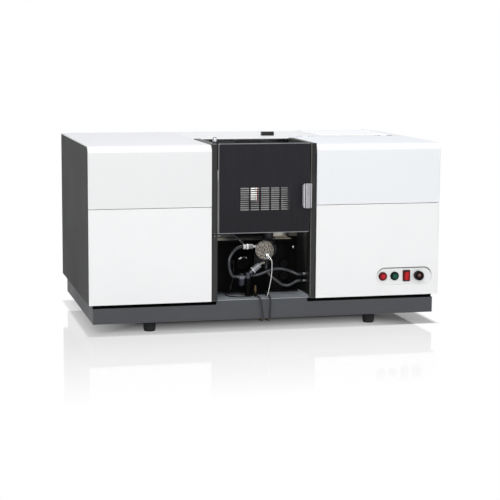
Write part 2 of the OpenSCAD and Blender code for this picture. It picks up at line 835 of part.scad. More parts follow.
module right_top_plate() {
    x = right_lid_x();
    y = [right_hinge_y + knuckle_r, y_rear];
    hatch = hatch_range();
    color("#eceded")
        difference() {
            union() {
                slab(x, y, [under_lid, body_h]);
                slab([x[0], x[0] + shell], [y[0], y_rear - shell - seam/2], [skirt_z, under_lid]);
            }
            // Opening under the service hatch
            along_z([under_lid - 1, body_h + 1])
                round_box_2d([hatch[0][0] + 20, hatch[0][1] - 20], [hatch[1][0] + 20, hatch[1][1] - 20], 8);
            for (at = hatch_screws())
                rod_z(at[0], at[1], [under_lid - 1, body_h + 1], 2);
        }
}

module service_hatch() {
    color("#f4f5f6")
        difference() {
            along_z([body_h, body_h + hatch_t])
                round_box_2d(hatch_range()[0], hatch_range()[1], 6);
            for (at = hatch_screws())
                rod_z(at[0], at[1], [body_h - 1, body_h + hatch_t + 1], 2);
        }
}

module bridge_plate() {
    color("#f2f3f4")
        slab([x_unit_l, x_unit_r], [y_chimney, y_rear], [under_lid, body_h]);
}

// Grip block of the bridge plate, with a finger hollow in its front
module latch_block() {
    x = [x_unit_r - block_gap - block_w, x_unit_r - block_gap];
    y = [y_front + block_in, y_front + block_in + block_d];
    color("#1e1f21")
        difference() {
            along_x(x)
                front_round_2d(y, [body_h, body_h + block_h], 4);
            translate([0, y[0] - 3, body_h + block_h*0.42])
                rotate([0, 90, 0])
                    translate([0, 0, x[0] + 5])
                        cylinder(h = block_w - 10, r = 5);
        }
}

// Bay

// Hollow wall on one side of the bay, with the beam's hole and a cap at its top
module bay_wall(x) {
    spine_y = [y_chimney + 20 + 12, y_chimney + 70 - 12];
    spine_z = [bench_z - bench_t - 10, bench_z - bench_t];
    difference() {
        union() {
            difference() {
                along_z([deck_top, under_lid]) wall_plan_2d(x, y_rear - shell);
                slab([x[0] + sheet, x[1] - sheet], [y_wall + sheet, y_rear - shell - sheet],
                    [deck_top - 1, under_lid - sheet]);
            }
            children();
        }
        rod_x([x[0] - 1, x[1] + 1], turret_y, beam_h, window_r + 3 + run_gap);
        slab([x[0] - 1, x[1] + 1], spine_y - [1, -1], spine_z - [1, -1]);
    }
    along_z([under_lid, body_h + 2]) wall_plan_2d(x, y_chimney - 0.5);
}

module left_bay_wall() {
    x = [x_unit_l, bay_l];
    slot_z = [door_low - door_arm_t - 3, door_low + 2];
    slot_y = hinge_y + door_arm_r + 2;
    color("#3c3c3b")
        difference() {
            bay_wall(x)
                // Webs above and below the lower hinge arm, which hold its pin
                for (z = [slot_z[0] - 3, slot_z[1]])
                    slab(x, [y_wall, slot_y + sheet], [z, z + 3]);
            slab([x[0] + sheet, x[1] + 1], [y_wall - 1, slot_y], slot_z);
            rod_z(hinge_x, hinge_y, [slot_z[0] - 20, slot_z[1] + 20], door_pin_r + run_gap);
            rod_z(hinge_x, hinge_y, [body_h - 12, body_h + 3], door_pin_r + run_gap);
            // Gland holes
            rod_x([bay_l - sheet - 1, bay_l + 1], gland_y, gland_z, 4);
            rod_x([bay_l - sheet - 1, bay_l + 1], cable_port_y, cable_port_z, 4);
        }
}

module right_bay_wall() {
    color("#3c3c3b")
        difference() {
            bay_wall([bay_r, x_unit_r]);
            for (z = [upper_port_z, lower_port_z])
                rod_x([bay_r - 1, bay_r + sheet + 1], port_y, z, 4);
        }
}

// Drip tray with low upstands and two outlets near its front edge
module bay_floor() {
    y = [y_front + base_inset, y_bay_back];
    color("#515255")
        difference() {
            union() {
                slab([bay_l, bay_r], y, [deck_z, floor_top]);
                slab([bay_l, bay_l + 1.5], [y[0] + 10, y[1]], [floor_top, floor_top + 5]);
                slab([bay_r - tray_lip, bay_r], [y[0] + 10, y[1]], [floor_top, floor_top + 5]);
            }
            rod_z(union_x, union_y, [deck_z - 1, floor_top + 1], 8.5);
        }
}

// Stepped wall behind the spray chamber and the burner
module bay_back() {
    t = sheet;
    color("#232325")
        difference() {
            along_x([bay_l, bay_r])
                union() {
                    box_2d([y_bay_back, y_bay_back + t], [floor_top, step_h]);
                    box_2d([y_bay_back, y_chimney + t], [step_h - t, step_h]);
                    box_2d([y_chimney, y_chimney + t], [step_h - t, under_lid]);
                }
            for (z = [fuel_z, air_z])
                rod_y(valve_x, [y_bay_back - 1, y_bay_back + t + 1], z, 4 + run_gap);
            rod_y(adjuster_x, [y_bay_back - 1, y_bay_back + t + 1], adjuster_z, 5 + run_gap);
            rod_y(floor_route[0][0], [y_bay_back - 1, y_bay_back + t + 1], floor_route[0][2], 4);
            rod_y(bay_screw()[0], [y_bay_back - 1, y_bay_back + t + 1], bay_screw()[2], 2);
            for (i = [-4:4])
                translate([bay_mid + i*24, 0, 0])
                    along_y([y_chimney - 1, y_chimney + t + 1])
                        round_box_2d([-6, 6], [skirt_z - 60, skirt_z - 20], 5.9);
        }
}

// Polished shield round the burner's stem, the chimney's lining and the igniter's block on it
module heat_shield() {
    y = [chamber_y + 24, y_bay_back];
    lining_y = [y_chimney - 1.5, y_chimney];
    color("#c4c7ca") {
        difference() {
            union() {
                slab([bay_l, bay_r - shield_gap], y, [shield_h, shield_h + 1.5]);
                slab([bay_l, bay_r - shield_gap], [y[0], y[0] + 1.5], [shield_h - 2, shield_h]);
            }
            rod_z(neck_x, neck_y, [shield_h - 1, shield_h + 3], neck_r + 6);
            on_chamber()
                rod_y(0, [0, chamber_len], 0, chamber_r + 1);
        }
        slab([bay_l + 1, bay_r - 1], lining_y, [step_h, skirt_z - 66]);
        slab([bay_l + 1, bay_r - 1], [y_bay_back + 6, y_chimney], [step_h, step_h + 1.5]);
    }
    color("#e9e7e0")
        slab([igniter_x, igniter_x + 14], [lining_y[0] - 10, lining_y[0]], [beam_h + 22, beam_h + 58]);
    color("#b3202a") {
        rod_z(igniter_x + 20, lining_y[0] - 5, [beam_h + 20, beam_h + 62], 3.2);
        slab([igniter_x + 13, igniter_x + 20], [lining_y[0] - 7, lining_y[0] - 3], [beam_h + 30, beam_h + 50]);
    }
}

igniter_x = neck_x - 22;

// Door

module door_plate() {
    color("#2c2c31")
        difference() {
            along_y([y_front, y_front + door_plate])
                round_box_2d([door_l + door_edge, door_r], [door_low + door_edge, door_high - door_edge], 3);
            for (i = [0:vent_columns - 1], j = [0:vent_rows - 1])
                slab([door_l + vent_in + i*vent_step, door_l + vent_in + i*vent_step + vent_w],
                    [y_front - 1, y_front + door_plate + 1],
                    [vent_low + j*vent_pitch, vent_low + j*vent_pitch + vent_slot]);
            for (z = pull_bolts())
                rod_y(pull_x, [y_front - 1, y_front + door_plate + 1], z, 2.5);
        }
}

pull_x = door_r + pull_past - pull_w/2;
function pull_bolts() = [pull_low + 14, pull_low + pull_h - 14];

// Folded frame behind the front plate: edge flange, four walls and the two hinge arms
module door_frame() {
    flange_y = [y_front + door_plate, y_front + 2*door_plate];
    wall = 1.5;
    x = [door_l + frame_in, door_r - 6];
    z = [door_low + 6, door_high - 6];
    color("#b5b8bc")
        difference() {
            union() {
                along_y(flange_y)
                    round_box_2d([door_l, door_r], [door_low, door_high], 4);
                difference() {
                    slab(x, [flange_y[0] + 0.5, door_back], z);
                    slab(x + [wall, -wall], [flange_y[0], door_back + 1], z + [wall, -wall]);
                }
                // Upper arm over the wall's cap, and lower arm in the wall's slot
                door_arm([door_high, door_high + door_arm_t], z[1] - 3);
                door_arm([door_low - door_arm_t, door_low], z[0] + 3);
            }
            slab([x[0] + 14, x[1] - 14], [flange_y[0] - 1, flange_y[1] + 1], [z[0] + 14, z[1] - 14]);
            for (b = [[door_high - 1, door_high + door_arm_t + 1], [door_low - door_arm_t - 1, door_low + 1]])
                rod_z(hinge_x, hinge_y, b, door_pin_r + run_gap);
        }
}

// Hinge arm at height z, tied to the frame's wall at height tie_z
module door_arm(z, tie_z) {
    arm_x = [hinge_x, door_l + frame_in + 30];
    arm_y = [hinge_y - 5, hinge_y + 3];
    rod_z(hinge_x, hinge_y, z, door_arm_r);
    slab(arm_x, arm_y, z);
    slab([door_l + frame_in + 3, arm_x[1]], arm_y, [min(z[0], tie_z), max(z[1], tie_z)]);
}

// Rounded pull with finger grooves along its left side
module door_pull() {
    y0 = y_front - pull_d;
    foot_w = pull_w - 8;
    color("#a5a8ac") {
        difference() {
            along_z([pull_low, pull_low + pull_h])
                difference() {
                    round_box_2d(about(pull_x, pull_w/2), [y0, y_front], 7);
                    // Hollow behind the grip on both sides
                    for (s = [-1, 1])
                        translate([pull_x + s*(pull_w/2 + 2), y_front - 7]) circle(5.5);
                    // Fine grooves in the front face
                    for (i = [-2:2])
                        translate([pull_x + i*3.4, y0]) circle(0.9, $fn = 16);
                }
            // Ends cut to a slope
            for (s = [0, 1])
                translate([0, y0, pull_low + s*pull_h])
                    rotate([(2*s - 1)*-22, 0, 0])
                        slab(about(pull_x, pull_w), [-30, 30], s == 0 ? [-30, 0] : [0, 30]);
            for (z = pull_bolts())
                rod_y(pull_x, [y_front - 8, y_front + 1], z, 2);
        }
        // The foot that stands on the door's plate
        slab([pull_x - foot_w/2, pull_x + foot_w/2 - pull_past - 1], [y_front - 3, y_front],
            [pull_low + 10, pull_low + pull_h - 10]);
    }
}

// Controls

module control_plate() {
    through = [plate_front - 1, plate_front + sheet + 1];
    color("#e8e8e8")
        difference() {
            intersection() {
                slab([field_x - field_w/2 - 6, field_x + field_w/2 + 2], [plate_front, plate_front + sheet],
                    about(field_z, field_h/2 + 6));
                along_z([deck_z, seam_h])
                    right_round_2d([x_unit_r, x_right - shell], [y_inside, y_front + return_d], side_r - shell);
            }
            for (i = [0, 1])
                rod_y(control_x[i], through, field_z, button_d/2 + 0.5);
            slab(about(control_x[2], rocker_w/2 - 3), through, about(field_z, rocker_h/2 - 3));
            rod_y(control_x[3], through, field_z, 3 + run_gap);
        }
}

// Rings of the two buttons and the frame of the rocker
module control_bezels() {
    front = plate_front - ring_t - 1;
    body_end = plate_front + 16;
    color("#222326") {
        for (i = [0, 1])
            difference() {
                union() {
                    rod_y(control_x[i], [front, plate_front], field_z, ring_d/2);
                    rod_y(control_x[i], [plate_front + sheet, body_end], field_z, button_d/2 + 2);
                    rod_y(control_x[i], [plate_front - tiny, plate_front + sheet + tiny], field_z,
                        button_d/2 + 0.5);
                }
                rod_y(control_x[i], [front - 1, body_end - 2], field_z, button_d/2 + run_gap);
            }
        difference() {
            union() {
                along_y([front, plate_front])
                    round_box_2d(about(control_x[2], rocker_w/2),
                        about(field_z, rocker_h/2), 2);
                slab(about(control_x[2], rocker_w/2 - 3), [plate_front - tiny, body_end],
                    about(field_z, rocker_h/2 - 3));
            }
            slab(about(control_x[2], rocker_w/2 - 4), [front - 1, body_end - 2],
                about(field_z, rocker_h/2 - 4));
        }
        rod_x(about(control_x[2], rocker_w/2 - 3), rocker_pivot_y, field_z,
            1.2 - run_gap);
    }
}

// Button cap with a shallow dish in its face
module button(i) {
    front = plate_front - ring_t - 1 - button_out;
    difference() {
        rod_y(control_x[i], [front, front + button_out + 8], field_z, button_d/2);
        translate([control_x[i], front - 38.9, field_z])
            sphere(r = 39.7, $fn = 64);
    }
}

module red_button() {
    color("#c81e28") button(0);
}

module green_button() {
    color("#145a3c") button(1);
}

rocker_pivot_y = plate_front + 1;
rocker_tilt = 8;

// Rocker with a bent face that swings about a bar behind it
module rocker() {
    half_h = rocker_h/2 - 5;
    half_w = rocker_w/2 - 4.3;
    front = plate_front - ring_t - 1;
    color("#b3202a")
        translate([0, rocker_pivot_y, field_z])
        rotate([rocker_tilt, 0, 0])
        translate([0, -rocker_pivot_y, -field_z])
        difference() {
            along_x(about(control_x[2], half_w))
                polygon([[front - 3.2, field_z + half_h], [front - 0.4, field_z],
                    [front - 3.2, field_z - half_h], [front + 2.6, field_z - half_h], [rocker_pivot_y + 3, field_z - 4],
                    [rocker_pivot_y + 3, field_z + 4], [front + 2.6, field_z + half_h]]);
            rod_x(about(control_x[2], rocker_w), rocker_pivot_y, field_z, 1.2);
        }
}

// Knurled control knob with a pointer groove and its shaft
module control_knob() {
    front = plate_front - 0.5 - knob_h;
    color("#4a1420") {
        difference() {
            rod_y(control_x[3], [front, plate_front - 0.5], field_z, knob_d/2);
            for (i = [0:23])
                rotate_about(control_x[3], field_z, i*15)
                    slab([control_x[3] + knob_d/2 - 0.7, control_x[3] + knob_d/2 + 1],
                        [front - 1, plate_front - 3], about(field_z, 0.6));
            slab(about(control_x[3], 0.8), [front - 1, front + 0.8],
                [field_z + 3, field_z + knob_d]);
        }
        rod_y(control_x[3], [plate_front - 1, plate_front + 12], field_z, 3);
    }
}

module rotate_about(x, z, a) {
    translate([x, 0, z])
        rotate([0, a, 0])
            translate([-x, 0, -z])
                children();
}

// Burner group

// Hollow chamber with its flange, the burner's stem and the drain and gas bosses
module spray_chamber() {
    color("#35373a")
        difference() {
            union() {
                on_chamber() {
                    rod_y(0, [4, chamber_len], 0, chamber_r);
                    rod_y(0, [4, 10], 0, flange_r);
                }
                rod_z(neck_x, neck_y, [chamber_z, seat_z], neck_r);
                rod_z(chamber_x - 0.6, union_y, [chamber_z - 36, chamber_z], 6);
                rod_z(chamber_x + 10, chamber_y + 20, [chamber_z - 34, chamber_z], 4.5);
                rod_z(chamber_x + 10, chamber_y + 20, [lower_route[0][2], chamber_z - 33], 3);
                rod_x([chamber_x - 22, chamber_x], coupling_y, coupling_z, 6);
            }
            on_chamber()
                rod_y(0, [4 - 1, chamber_len - chamber_wall], 0, chamber_r - chamber_wall);
            rod_z(neck_x, neck_y, [chamber_z, seat_z + 1], neck_bore + run_gap);
        }
}

// Flange with a lobe for the nebuliser, and the knurled disc in front of it
module chamber_cap() {
    color("#9fa2a4")
        on_chamber() {
            rod_y(0, [-4, 4], 0, flange_r);
            rod_y(0, [-6, -4], 0, flange_r - 2.5);
            translate([0, -6, 0])
                rotate([90, 0, 0])
                    linear_extrude(7)
                        polygon([for (i = [0:2*cap_ridges - 1])
                            let (a = 180*i/cap_ridges, r = cap_r - (i % 2))
                            [r*cos(a), r*sin(a)]]);
            rod_y(0, [-15, -13], 0, cap_r - 4);
        }
}

neb_from = [chamber_x + 2, chamber_y - 15, chamber_z - 13];
neb_to = capillary_route[0];

// Nebuliser: body, hex nut, knurled adjuster and the tip that takes the capillary
module nebuliser() {
    len = norm(neb_to - neb_from);
    color("#b8bbbe")
        difference() {
            between(neb_from, neb_to) {
                translate([0, 0, -6]) cylinder(h = 12, r = 5);
                translate([0, 0, 2]) cylinder(h = 4.5, r = 7.4, $fn = 6);
                translate([0, 0, 6]) cylinder(h = 6, r = 4.6);
                for (i = [0:3])
                    translate([0, 0, 7 + i*1.3]) cylinder(h = 0.7, r = 5.2);
                cylinder(h = len, r = 1.9);
            }
            on_chamber() {
                rod_y(0, [-4, 40], 0, 60);
                rod_y(0, [-6, -3], 0, flange_r - 2.5);
                rod_y(0, [-15.1, -5], 0, cap_r + 0.3);
            }
        }
}

// Clamp ring round the chamber, and the arm that carries it from the bay's back
module chamber_bracket() {
    ring_v = neck_in - neck_r - 15;
    rx = chamber_x + ring_v*sin(chamber_yaw);
    ry = chamber_y + ring_v*cos(chamber_yaw);
    color("#6d7074")
        difference() {
            union() {
                on_chamber()
                    rod_y(0, about(ring_v, 7), 0, chamber_r + 5);
                slab(about(rx, 9), [ry - 6, y_bay_back],
                    [chamber_z - chamber_r - 12, chamber_z - chamber_r - 3]);
                slab(about(rx, 22), [y_bay_back - 5, y_bay_back],
                    [chamber_z - chamber_r - 32, chamber_z - chamber_r + 4]);
            }
            on_chamber()
                rod_y(0, [0, chamber_len + 10], 0, chamber_r);
            slab(about(rx, 60), [ry - 40, y_bay_back - 6], [chamber_z + 10, chamber_z + 40]);
            for (s = [-1, 1])
                rod_y(rx + s*16, [y_bay_back - 6, y_bay_back + 1], chamber_z - chamber_r - 24, 2.5);
        }
}

// Burner head: spigot and collar, finned body and the long flame slot
module burner_head() {
    foot = seat_z + 5;
    mid = (foot + burner_top)/2;
    color("#8b8e91")
        difference() {
            union() {
                rod_z(neck_x, neck_y, [seat_z - 16, seat_z], neck_bore);
                rod_z(neck_x, neck_y, [seat_z + 0.3, foot + 2], neck_r + 3);
                rod_z(neck_x, neck_y, about(seat_z, 1), neck_bore);
                along_x(about(neck_x, burner_len/2))
                    polygon([[neck_y - burner_w/2, foot], [neck_y + burner_w/2, foot],
                        [neck_y + burner_w/2, mid], [neck_y + burner_w/4, burner_top],
                        [neck_y - burner_w/4, burner_top], [neck_y - burner_w/2, mid]]);
            }
            // Flame slot and the gas channel under it
            slab(about(neck_x, flame_slot/2), about(neck_y, 0.5),
                [mid, burner_top + 1]);
            slab(about(neck_x, flame_slot/2), about(neck_y, 4),
                [foot + 3, mid + 1]);
            rod_z(neck_x, neck_y, [seat_z - 17, foot + 4], neck_bore - 3);
            // Cooling grooves on both long sides
            for (s = [-1, 1], i = [-9:9])
                slab(about(neck_x + i*6, 1),
                    about(neck_y + s*burner_w/2, 2), [foot - 1, mid]);
        }
}

// Round adjusting knob and its shaft into the bay's back
module adjuster_knob() {
    y0 = adjuster_y;
    color("#141416") {
        translate([adjuster_x, y0, adjuster_z])
            rotate([-90, 0, 0])
                rotate_extrude($fn = 64)
                    polygon([[0, 0], [adjuster_r - 6, 0], [adjuster_r - 2, 1.5], [adjuster_r, 5],
                        [adjuster_r, 15], [adjuster_r - 1.5, 18], [adjuster_r - 8, 20], [0, 20]]);
        rod_y(adjuster_x, [y0 + 19, y_bay_back + sheet + 6], adjuster_z, 5);
    }
}

module valve_knob(z) {
    color("#1a1a1c") {
        difference() {
            rod_y(valve_x, [y_bay_back - 16, y_bay_back - 2], z, valve_r);
            for (i = [0:11])
                rotate_about(valve_x, z, i*30)
                    rod_y(valve_x + valve_r + 1, [y_bay_back - 17, y_bay_back - 5], z, 2);
        }
        rod_y(valve_x, [y_bay_back - 3, y_bay_back + sheet + 8], z, 4);
    }
}

module fuel_knob() {
    valve_knob(fuel_z);
}

module air_knob() {
    valve_knob(air_z);
}

// Valve block behind the bay, with the knobs' sockets and three solenoids
module gas_manifold() {
    x = [bay_mid - 70, valve_x + 22];
    y = [y_bay_back + sheet + 0.5, y_bay_back + sheet + 42];
    z = [air_z - 18, fuel_z + 18];
    color("#7c7f83")
        difference() {
            union() {
                slab([x[1] - 56, x[1]], y, z);
                slab([x[0], x[1]], y, [z[0], z[0] + 26]);
                slab([x[0], x[1]], [y[0] + 4, y[1] - 4], [deck_top, z[0]]);
                for (i = [0:2])
                    rod_z(x[0] + 20 + i*34, (y[0] + y[1])/2, [z[0] + 26, z[0] + 62], 12);
            }
            for (k = [fuel_z, air_z])
                rod_y(valve_x, [y[0] - 1, y[0] + 10], k, 4 + run_gap);
            rod_y(adjuster_x, [y[0] - 1, y[1] + 1], adjuster_z, 7);
        }
}

// White and brass fittings in the bay: air coupling, wall ports, glands and tray outlets
module hose_fittings() {
    color("#e4e4df") {
        // Air coupling on the chamber's boss
        rod_x([union_x + 16, chamber_x - 22], coupling_y, coupling_z, 3.2);
        rod_x([air_route[0][0], union_x + 16], coupling_y, coupling_z, 7);
        between(stud_from, plug_from) cylinder(h = norm(plug_from - stud_from), r = 2);
        rod_x(about(union_x, 2), coupling_y, coupling_z, 8);
        // Ports in the right wall
        for (end = [last(upper_route), last(lower_route)]) {
            rod_x([end[0], bay_r + sheet + 6], end[1], end[2], 3.9);
            rod_x([bay_r - 5, bay_r], end[1], end[2], 5);
        }
        // Glands of the cables
        for (end = [igniter_route[0], last(floor_route)]) {
            rod_x([bay_l - sheet - 4, end[0]], end[1], end[2], 3.9);
            rod_x([bay_l, bay_l + 3], end[1], end[2], 6);
        }
        rod_y(floor_route[0][0], [floor_route[0][1], y_bay_back + sheet + 4], floor_route[0][2], 3.9);
        rod_y(floor_route[0][0], [y_bay_back - 3, y_bay_back], floor_route[0][2], 6);
    }
    color("#b08d4f")
        for (route = [left_drain_route, right_drain_route]) {
            // Outlet on the tray and elbow under the base
            start = route[0];
            end = last(route);
            rod_z(start[0], start[1] + 8, [floor_top, start[2] + 3], 4);
            rod_y(start[0], [start[1], start[1] + 8], start[2], 2);
            rod_y(end[0], [end[1], end[1] + 8], end[2], 2);
            rod_z(end[0], end[1] + 10, [end[2] - 3, foot_h], 4);
        }
    // Drain cock on the tray
    color("#b08d4f") {
        rod_z(cock[0], cock[1], [floor_top, floor_top + 14], 2.4);
        rod_z(cock[0], cock[1], [floor_top + 13, floor_top + 24], 4);
        rod_z(cock[0], cock[1], [floor_top + 24, floor_top + 30], 2.8);
    }
}

// Sloping drain line from the chamber to the junction over the drain hose
module drain_union() {
    top = [chamber_x - 0.6, union_y, chamber_z - 36];
    end = [union_x, union_y, union_z + 3];
    len = norm(end - top);
    color("#e9e9e6") {
        difference() {
            union() {
                between(top, end) {
                    cylinder(h = len, r = 3);
                    translate([0, 0, 14]) cylinder(h = 24, r = 8.5);
                    translate([0, 0, 36]) cylinder(h = 4, r = 10);
                    translate([0, 0, 40]) cylinder(h = 10, r = 6.5);
                }
                translate(top) sphere(r = 6);
            }
            rod_z(top[0], top[1], [top[2], top[2] + 10], 9);
        }
        rod_z(union_x, union_y, [union_z - 8, union_z + 9], 7.5);
        rod_x([union_x, union_x + 13.5], union_y, union_z, 3);
    }
}

// Liquid trap: clear body with a cap and a floor, beside the junction
module drain_trap() {
    tx = trap_x;
    ty = union_y;
    color("#9fb2bd") {
        difference() {
            union() {
                rod_z(tx, ty, [union_z - 26, union_z + 4], 9.5);
                rod_z(tx, ty, [union_z + 4, union_z + 7], 6);
                rod_z(tx, ty, [union_z - 30, union_z - 26], 4);
            }
            rod_z(tx, ty, [union_z - 24, union_z + 2], 8);
            rod_z(tx, ty, [union_z - 31, union_z - 23], 2);
        }
        rod_x([tx - 15, tx - 8.4], ty, union_z - 2, 3.4);
        difference() {
            rod_x([tx + 8.4, union_x], ty, union_z - 4, 3);
            rod_z(union_x, union_y, about(union_z, 9), 7.5);
        }
    }
}

// Ribbed drain hose from the junction through the tray
module drain_hose() {
    z0 = deck_z - 20;
    z1 = union_z - 8;
    ribs = floor((z1 - floor_top - 6)/5);
    color("#18181a")
        translate([union_x, union_y, 0])
            rotate_extrude($fn = 32)
                polygon(concat([[4.5, z1], [4.5, z0], [7, z0], [7, floor_top + 3]],
                    [for (i = [0:ribs - 1]) each [[8.6, floor_top + 4 + i*5], [8.6, floor_top + 6.5 + i*5],
                        [7, floor_top + 7 + i*5], [7, floor_top + 8.5 + i*5]]],
                    [[7, z1]]));
}

module gas_hoses() {
    color("#8f9396") {
        tube(air_route, hose_r, 10);
        tube(upper_route, hose_r, 10);
        tube(lower_route, hose_r, 10);
    }
}

module capillary() {
    color("#f0f0ee") tube(capillary_route, capillary_r);
}

module drain_tubes() {
    color("#1c1c1e") {
        tube(left_drain_route, drain_tube_r);
        tube(right_drain_route, drain_tube_r);
    }
}

module cables() {
    color("#161618") {
        tube(igniter_route, cable_r);
        tube(floor_route, cable_r);
    }
}

// Push-on connector on the coupling's stud
module igniter_plug() {
    end = last(igniter_route);
    len = norm(end - plug_from);
    color("#f2f2f0")
        between(plug_from, end) {
            cylinder(h = len, r = 3);
            cylinder(h = len - 5, r = 4);
            translate([0, 0, len - 3]) cylinder(h = 1.5, r = 3.6);
        }
}

// Lamp unit

// Carousel: rear socket plate, front clip plate and the axle between them
module lamp_turret() {
    back_x = [lamp_x, lamp_x + turret_plate];
    clip_x = lamp_x + lamp_len - 45;
    color("#5c5f63")
        difference() {
            union() {
                rod_x(back_x, turret_y, turret_z, turret_r);
                rod_x([clip_x, clip_x + turret_plate], turret_y, turret_z, turret_r);
                rod_x([lamp_x - 14, clip_x + turret_plate + 6], turret_y, turret_z, 12);
            }
            for (i = [0:lamp_count - 1]) {
                a = 360*i/lamp_count;
                y = turret_y + lamp_circle*sin(a);
                z = turret_z - lamp_circle*cos(a);
                rod_x([back_x[0] - 1, back_x[1] + 1], y, z, 9.2);
                rod_x([clip_x - 1, clip_x + turret_plate + 1], y, z, lamp_r + 0.2);
            }
            rod_x([lamp_x - 15, lamp_x - 4], turret_y, turret_z, 4);
        }
}

// Hollow cathode lamps: base, bulb and the narrower window end
module lamps() {
    back = lamp_x + turret_plate;
    color("#d8cfc0")
        for (i = [0:lamp_count - 1]) {
            a = 360*i/lamp_count;
            translate([back, turret_y + lamp_circle*sin(a), turret_z - lamp_circle*cos(a)])
                rotate([0, 90, 0])
                    rotate_extrude($fn = 40)
                        polygon([[0, -turret_plate - 12], [7, -turret_plate - 12],
                            [9, -turret_plate - 8], [9, 0], [lamp_r - 1, 0], [lamp_r - 1, 34], [lamp_r, 36], [lamp_r, lamp_len - 50],
                            [lamp_r - 3, lamp_len - 42], [lamp_r - 6, lamp_len - 34], [lamp_r - 6, lamp_len],
                            [0, lamp_len]]);
        }
}

// Bracket on the bench with the gearmotor that turns the carousel
module turret_motor() {
    x0 = lamp_x - 24;
    color("#6a6d71")
        difference() {
            union() {
                slab([x0, x0 + 8], about(turret_y, 40), [bench_z, turret_z + 28]);
                slab([x0 - 26, x0], about(turret_y, 40), [bench_z, bench_z + 6]);
                rod_x([x0 - 30, x0], turret_y, turret_z, 22);
                rod_x([x0 + 7, lamp_x - 5], turret_y, turret_z, 4 - run_gap);
            }
            rod_x([x0 - 31, x0 - 28], turret_y, turret_z, 12);
        }
}

// Lens tubes in both walls, with their windows
module beam_windows() {
    color("#5a5d61")
        for (x = [[x_unit_l - 30, bay_l + 4], [bay_r - 4, x_unit_r + 9]]) {
            flange = x[0] < 0 ? [x_unit_l - 3, x_unit_l] : [x_unit_r, x_unit_r + 3];
            difference() {
                union() {
                    rod_x(x, turret_y, beam_h, window_r + 3);
                    rod_x(flange, turret_y, beam_h, window_r + 8);
                }
                rod_x([x[0] - 1, x[1] - 6], turret_y, beam_h, window_r);
                rod_x([x[1] - 3, x[1] + 1], turret_y, beam_h, window_r);
            }
        }
}

// Detector unit

// Cast monochromator housing with its lid, ribs and entrance tube
module monochromator() {
    x = [x_unit_r + 24, x_right - 46];
    y = [y_front + 50, y_chimney + 16];
    z = [bench_z, beam_h + 92];
    wall = 6;
    color("#3f4246") {
        difference() {
            union() {
                along_z(z) round_box_2d(x, y, 14);
                along_z([z[1], z[1] + 5]) round_box_2d([x[0] - 3, x[1] + 3], [y[0] - 3, y[1] + 3], 16);
                for (i = [0:6])
                    slab([x[0] + 30 + i*36, x[0] + 34 + i*36], [y[0] + 20, y[1] - 20], [z[1] + 5, z[1] + 11]);
                rod_x([x_unit_r + 9, x[0] + 1], turret_y, beam_h, window_r + 1);
            }
            rod_x([x_unit_r + 8, x[0] + wall + 1], turret_y, beam_h, window_r - 4);
            // The housing is open towards the bench
            along_z([z[0] - 1, z[1] - wall])
                round_box_2d(x + [wall, -wall], y + [wall, -wall], 14 - wall);
        }
    }
}

// Detector tube in its shield can, beside the monochromator's exit
module photomultiplier() {
    px = x_right - 90;
    py = y_chimney + 16 + 30;
    color("#aeb2b6") {
        rod_z(px, py, [bench_z, bench_z + 90], 24);
        rod_z(px, py, [bench_z + 90, bench_z + 96], 26);
        rod_y(px, [y_chimney + 16, py - 20], beam_h, 14);
    }
}

// Power supply, main board and their parts in the detector unit's lower half
module electronics() {
    psu_x = [x_unit_r + 150, x_right - 60];
    psu_y = [y_front + 90, y_chimney + 60];
    board_y = y_rear - 130;
    board_x = [x_unit_r + 40, x_right - 60];
    chip_pitch = (board_x[1] - board_x[0] - 40)/5;
    color("#3d6b4f") {
        slab(board_x, [board_y, board_y + 1.6], [deck_top + 8, deck_top + 168]);
        for (x = [board_x[0] + 6, board_x[1] - 14])
            slab([x, x + 8], [board_y - 6, board_y + 8], [deck_top, deck_top + 24]);
        for (i = [0:4], j = [0:2])
            slab([board_x[0] + 20 + i*chip_pitch, board_x[0] + 44 + i*chip_pitch], [board_y - 4, board_y],
                [deck_top + 36 + j*42, deck_top + 54 + j*42]);
        for (i = [0:5])
            rod_y(board_x[0] + 30 + i*chip_pitch*0.85, [board_y - 16, board_y], deck_top + 22, 7);
    }
    color("#b4b8bb")
        difference() {
            slab(psu_x, psu_y, [deck_top, deck_top + 74]);
            for (i = [0:8])
                slab([psu_x[0] + 14 + i*16, psu_x[0] + 22 + i*16], [psu_y[0] - 1, psu_y[0] + 4],
                    [deck_top + 14, deck_top + 60]);
        }
}

fan_y = y_rear - shell - fan_depth;

// Fan frame with its spokes and motor seat, and the wire guard on the rear panel
module fan_frame() {
    hub_back = y_rear - shell - 4;
    color("#2a2b2d") {
        difference() {
            along_y([fan_y, y_rear - shell])
                difference() {
                    round_box_2d(about(fan_x, fan_frame_w/2),
                        about(fan_z, fan_frame_w/2), 6);
                    translate([fan_x, fan_z]) circle(fan_d/2);
                }
            for (sx = [-1, 1], sz = [-1, 1])
                rod_y(fan_x + sx*52.5, [fan_y - 1, y_rear], fan_z + sz*52.5, 2.2);
        }
        rod_y(fan_x, [hub_back, y_rear - shell], fan_z, fan_hub_r);
        for (a = [45:90:315])
            rotate_about(fan_x, fan_z, a)
                slab([fan_x + fan_hub_r - 1, fan_x + fan_d/2 + 1], [hub_back, y_rear - shell],
                    about(fan_z, 2));
        rod_y(fan_x, [y_rear - shell - 8, hub_back + 1], fan_z, 3);
    }
    color("#b8babd") {
        for (r = [16:12:fan_d/2 + 2])
            translate([fan_x, y_rear + 1.2, fan_z])
                rotate([90, 0, 0])
                    rotate_extrude()
                        translate([r, 0]) square([1.6, 1.6], center = true);
        for (a = [0, 90])
            rotate_about(fan_x, fan_z, a)
                slab(about(fan_x, fan_d/2 + 4), [y_rear, y_rear + 1.2],
                    about(fan_z, 1.2));
    }
}

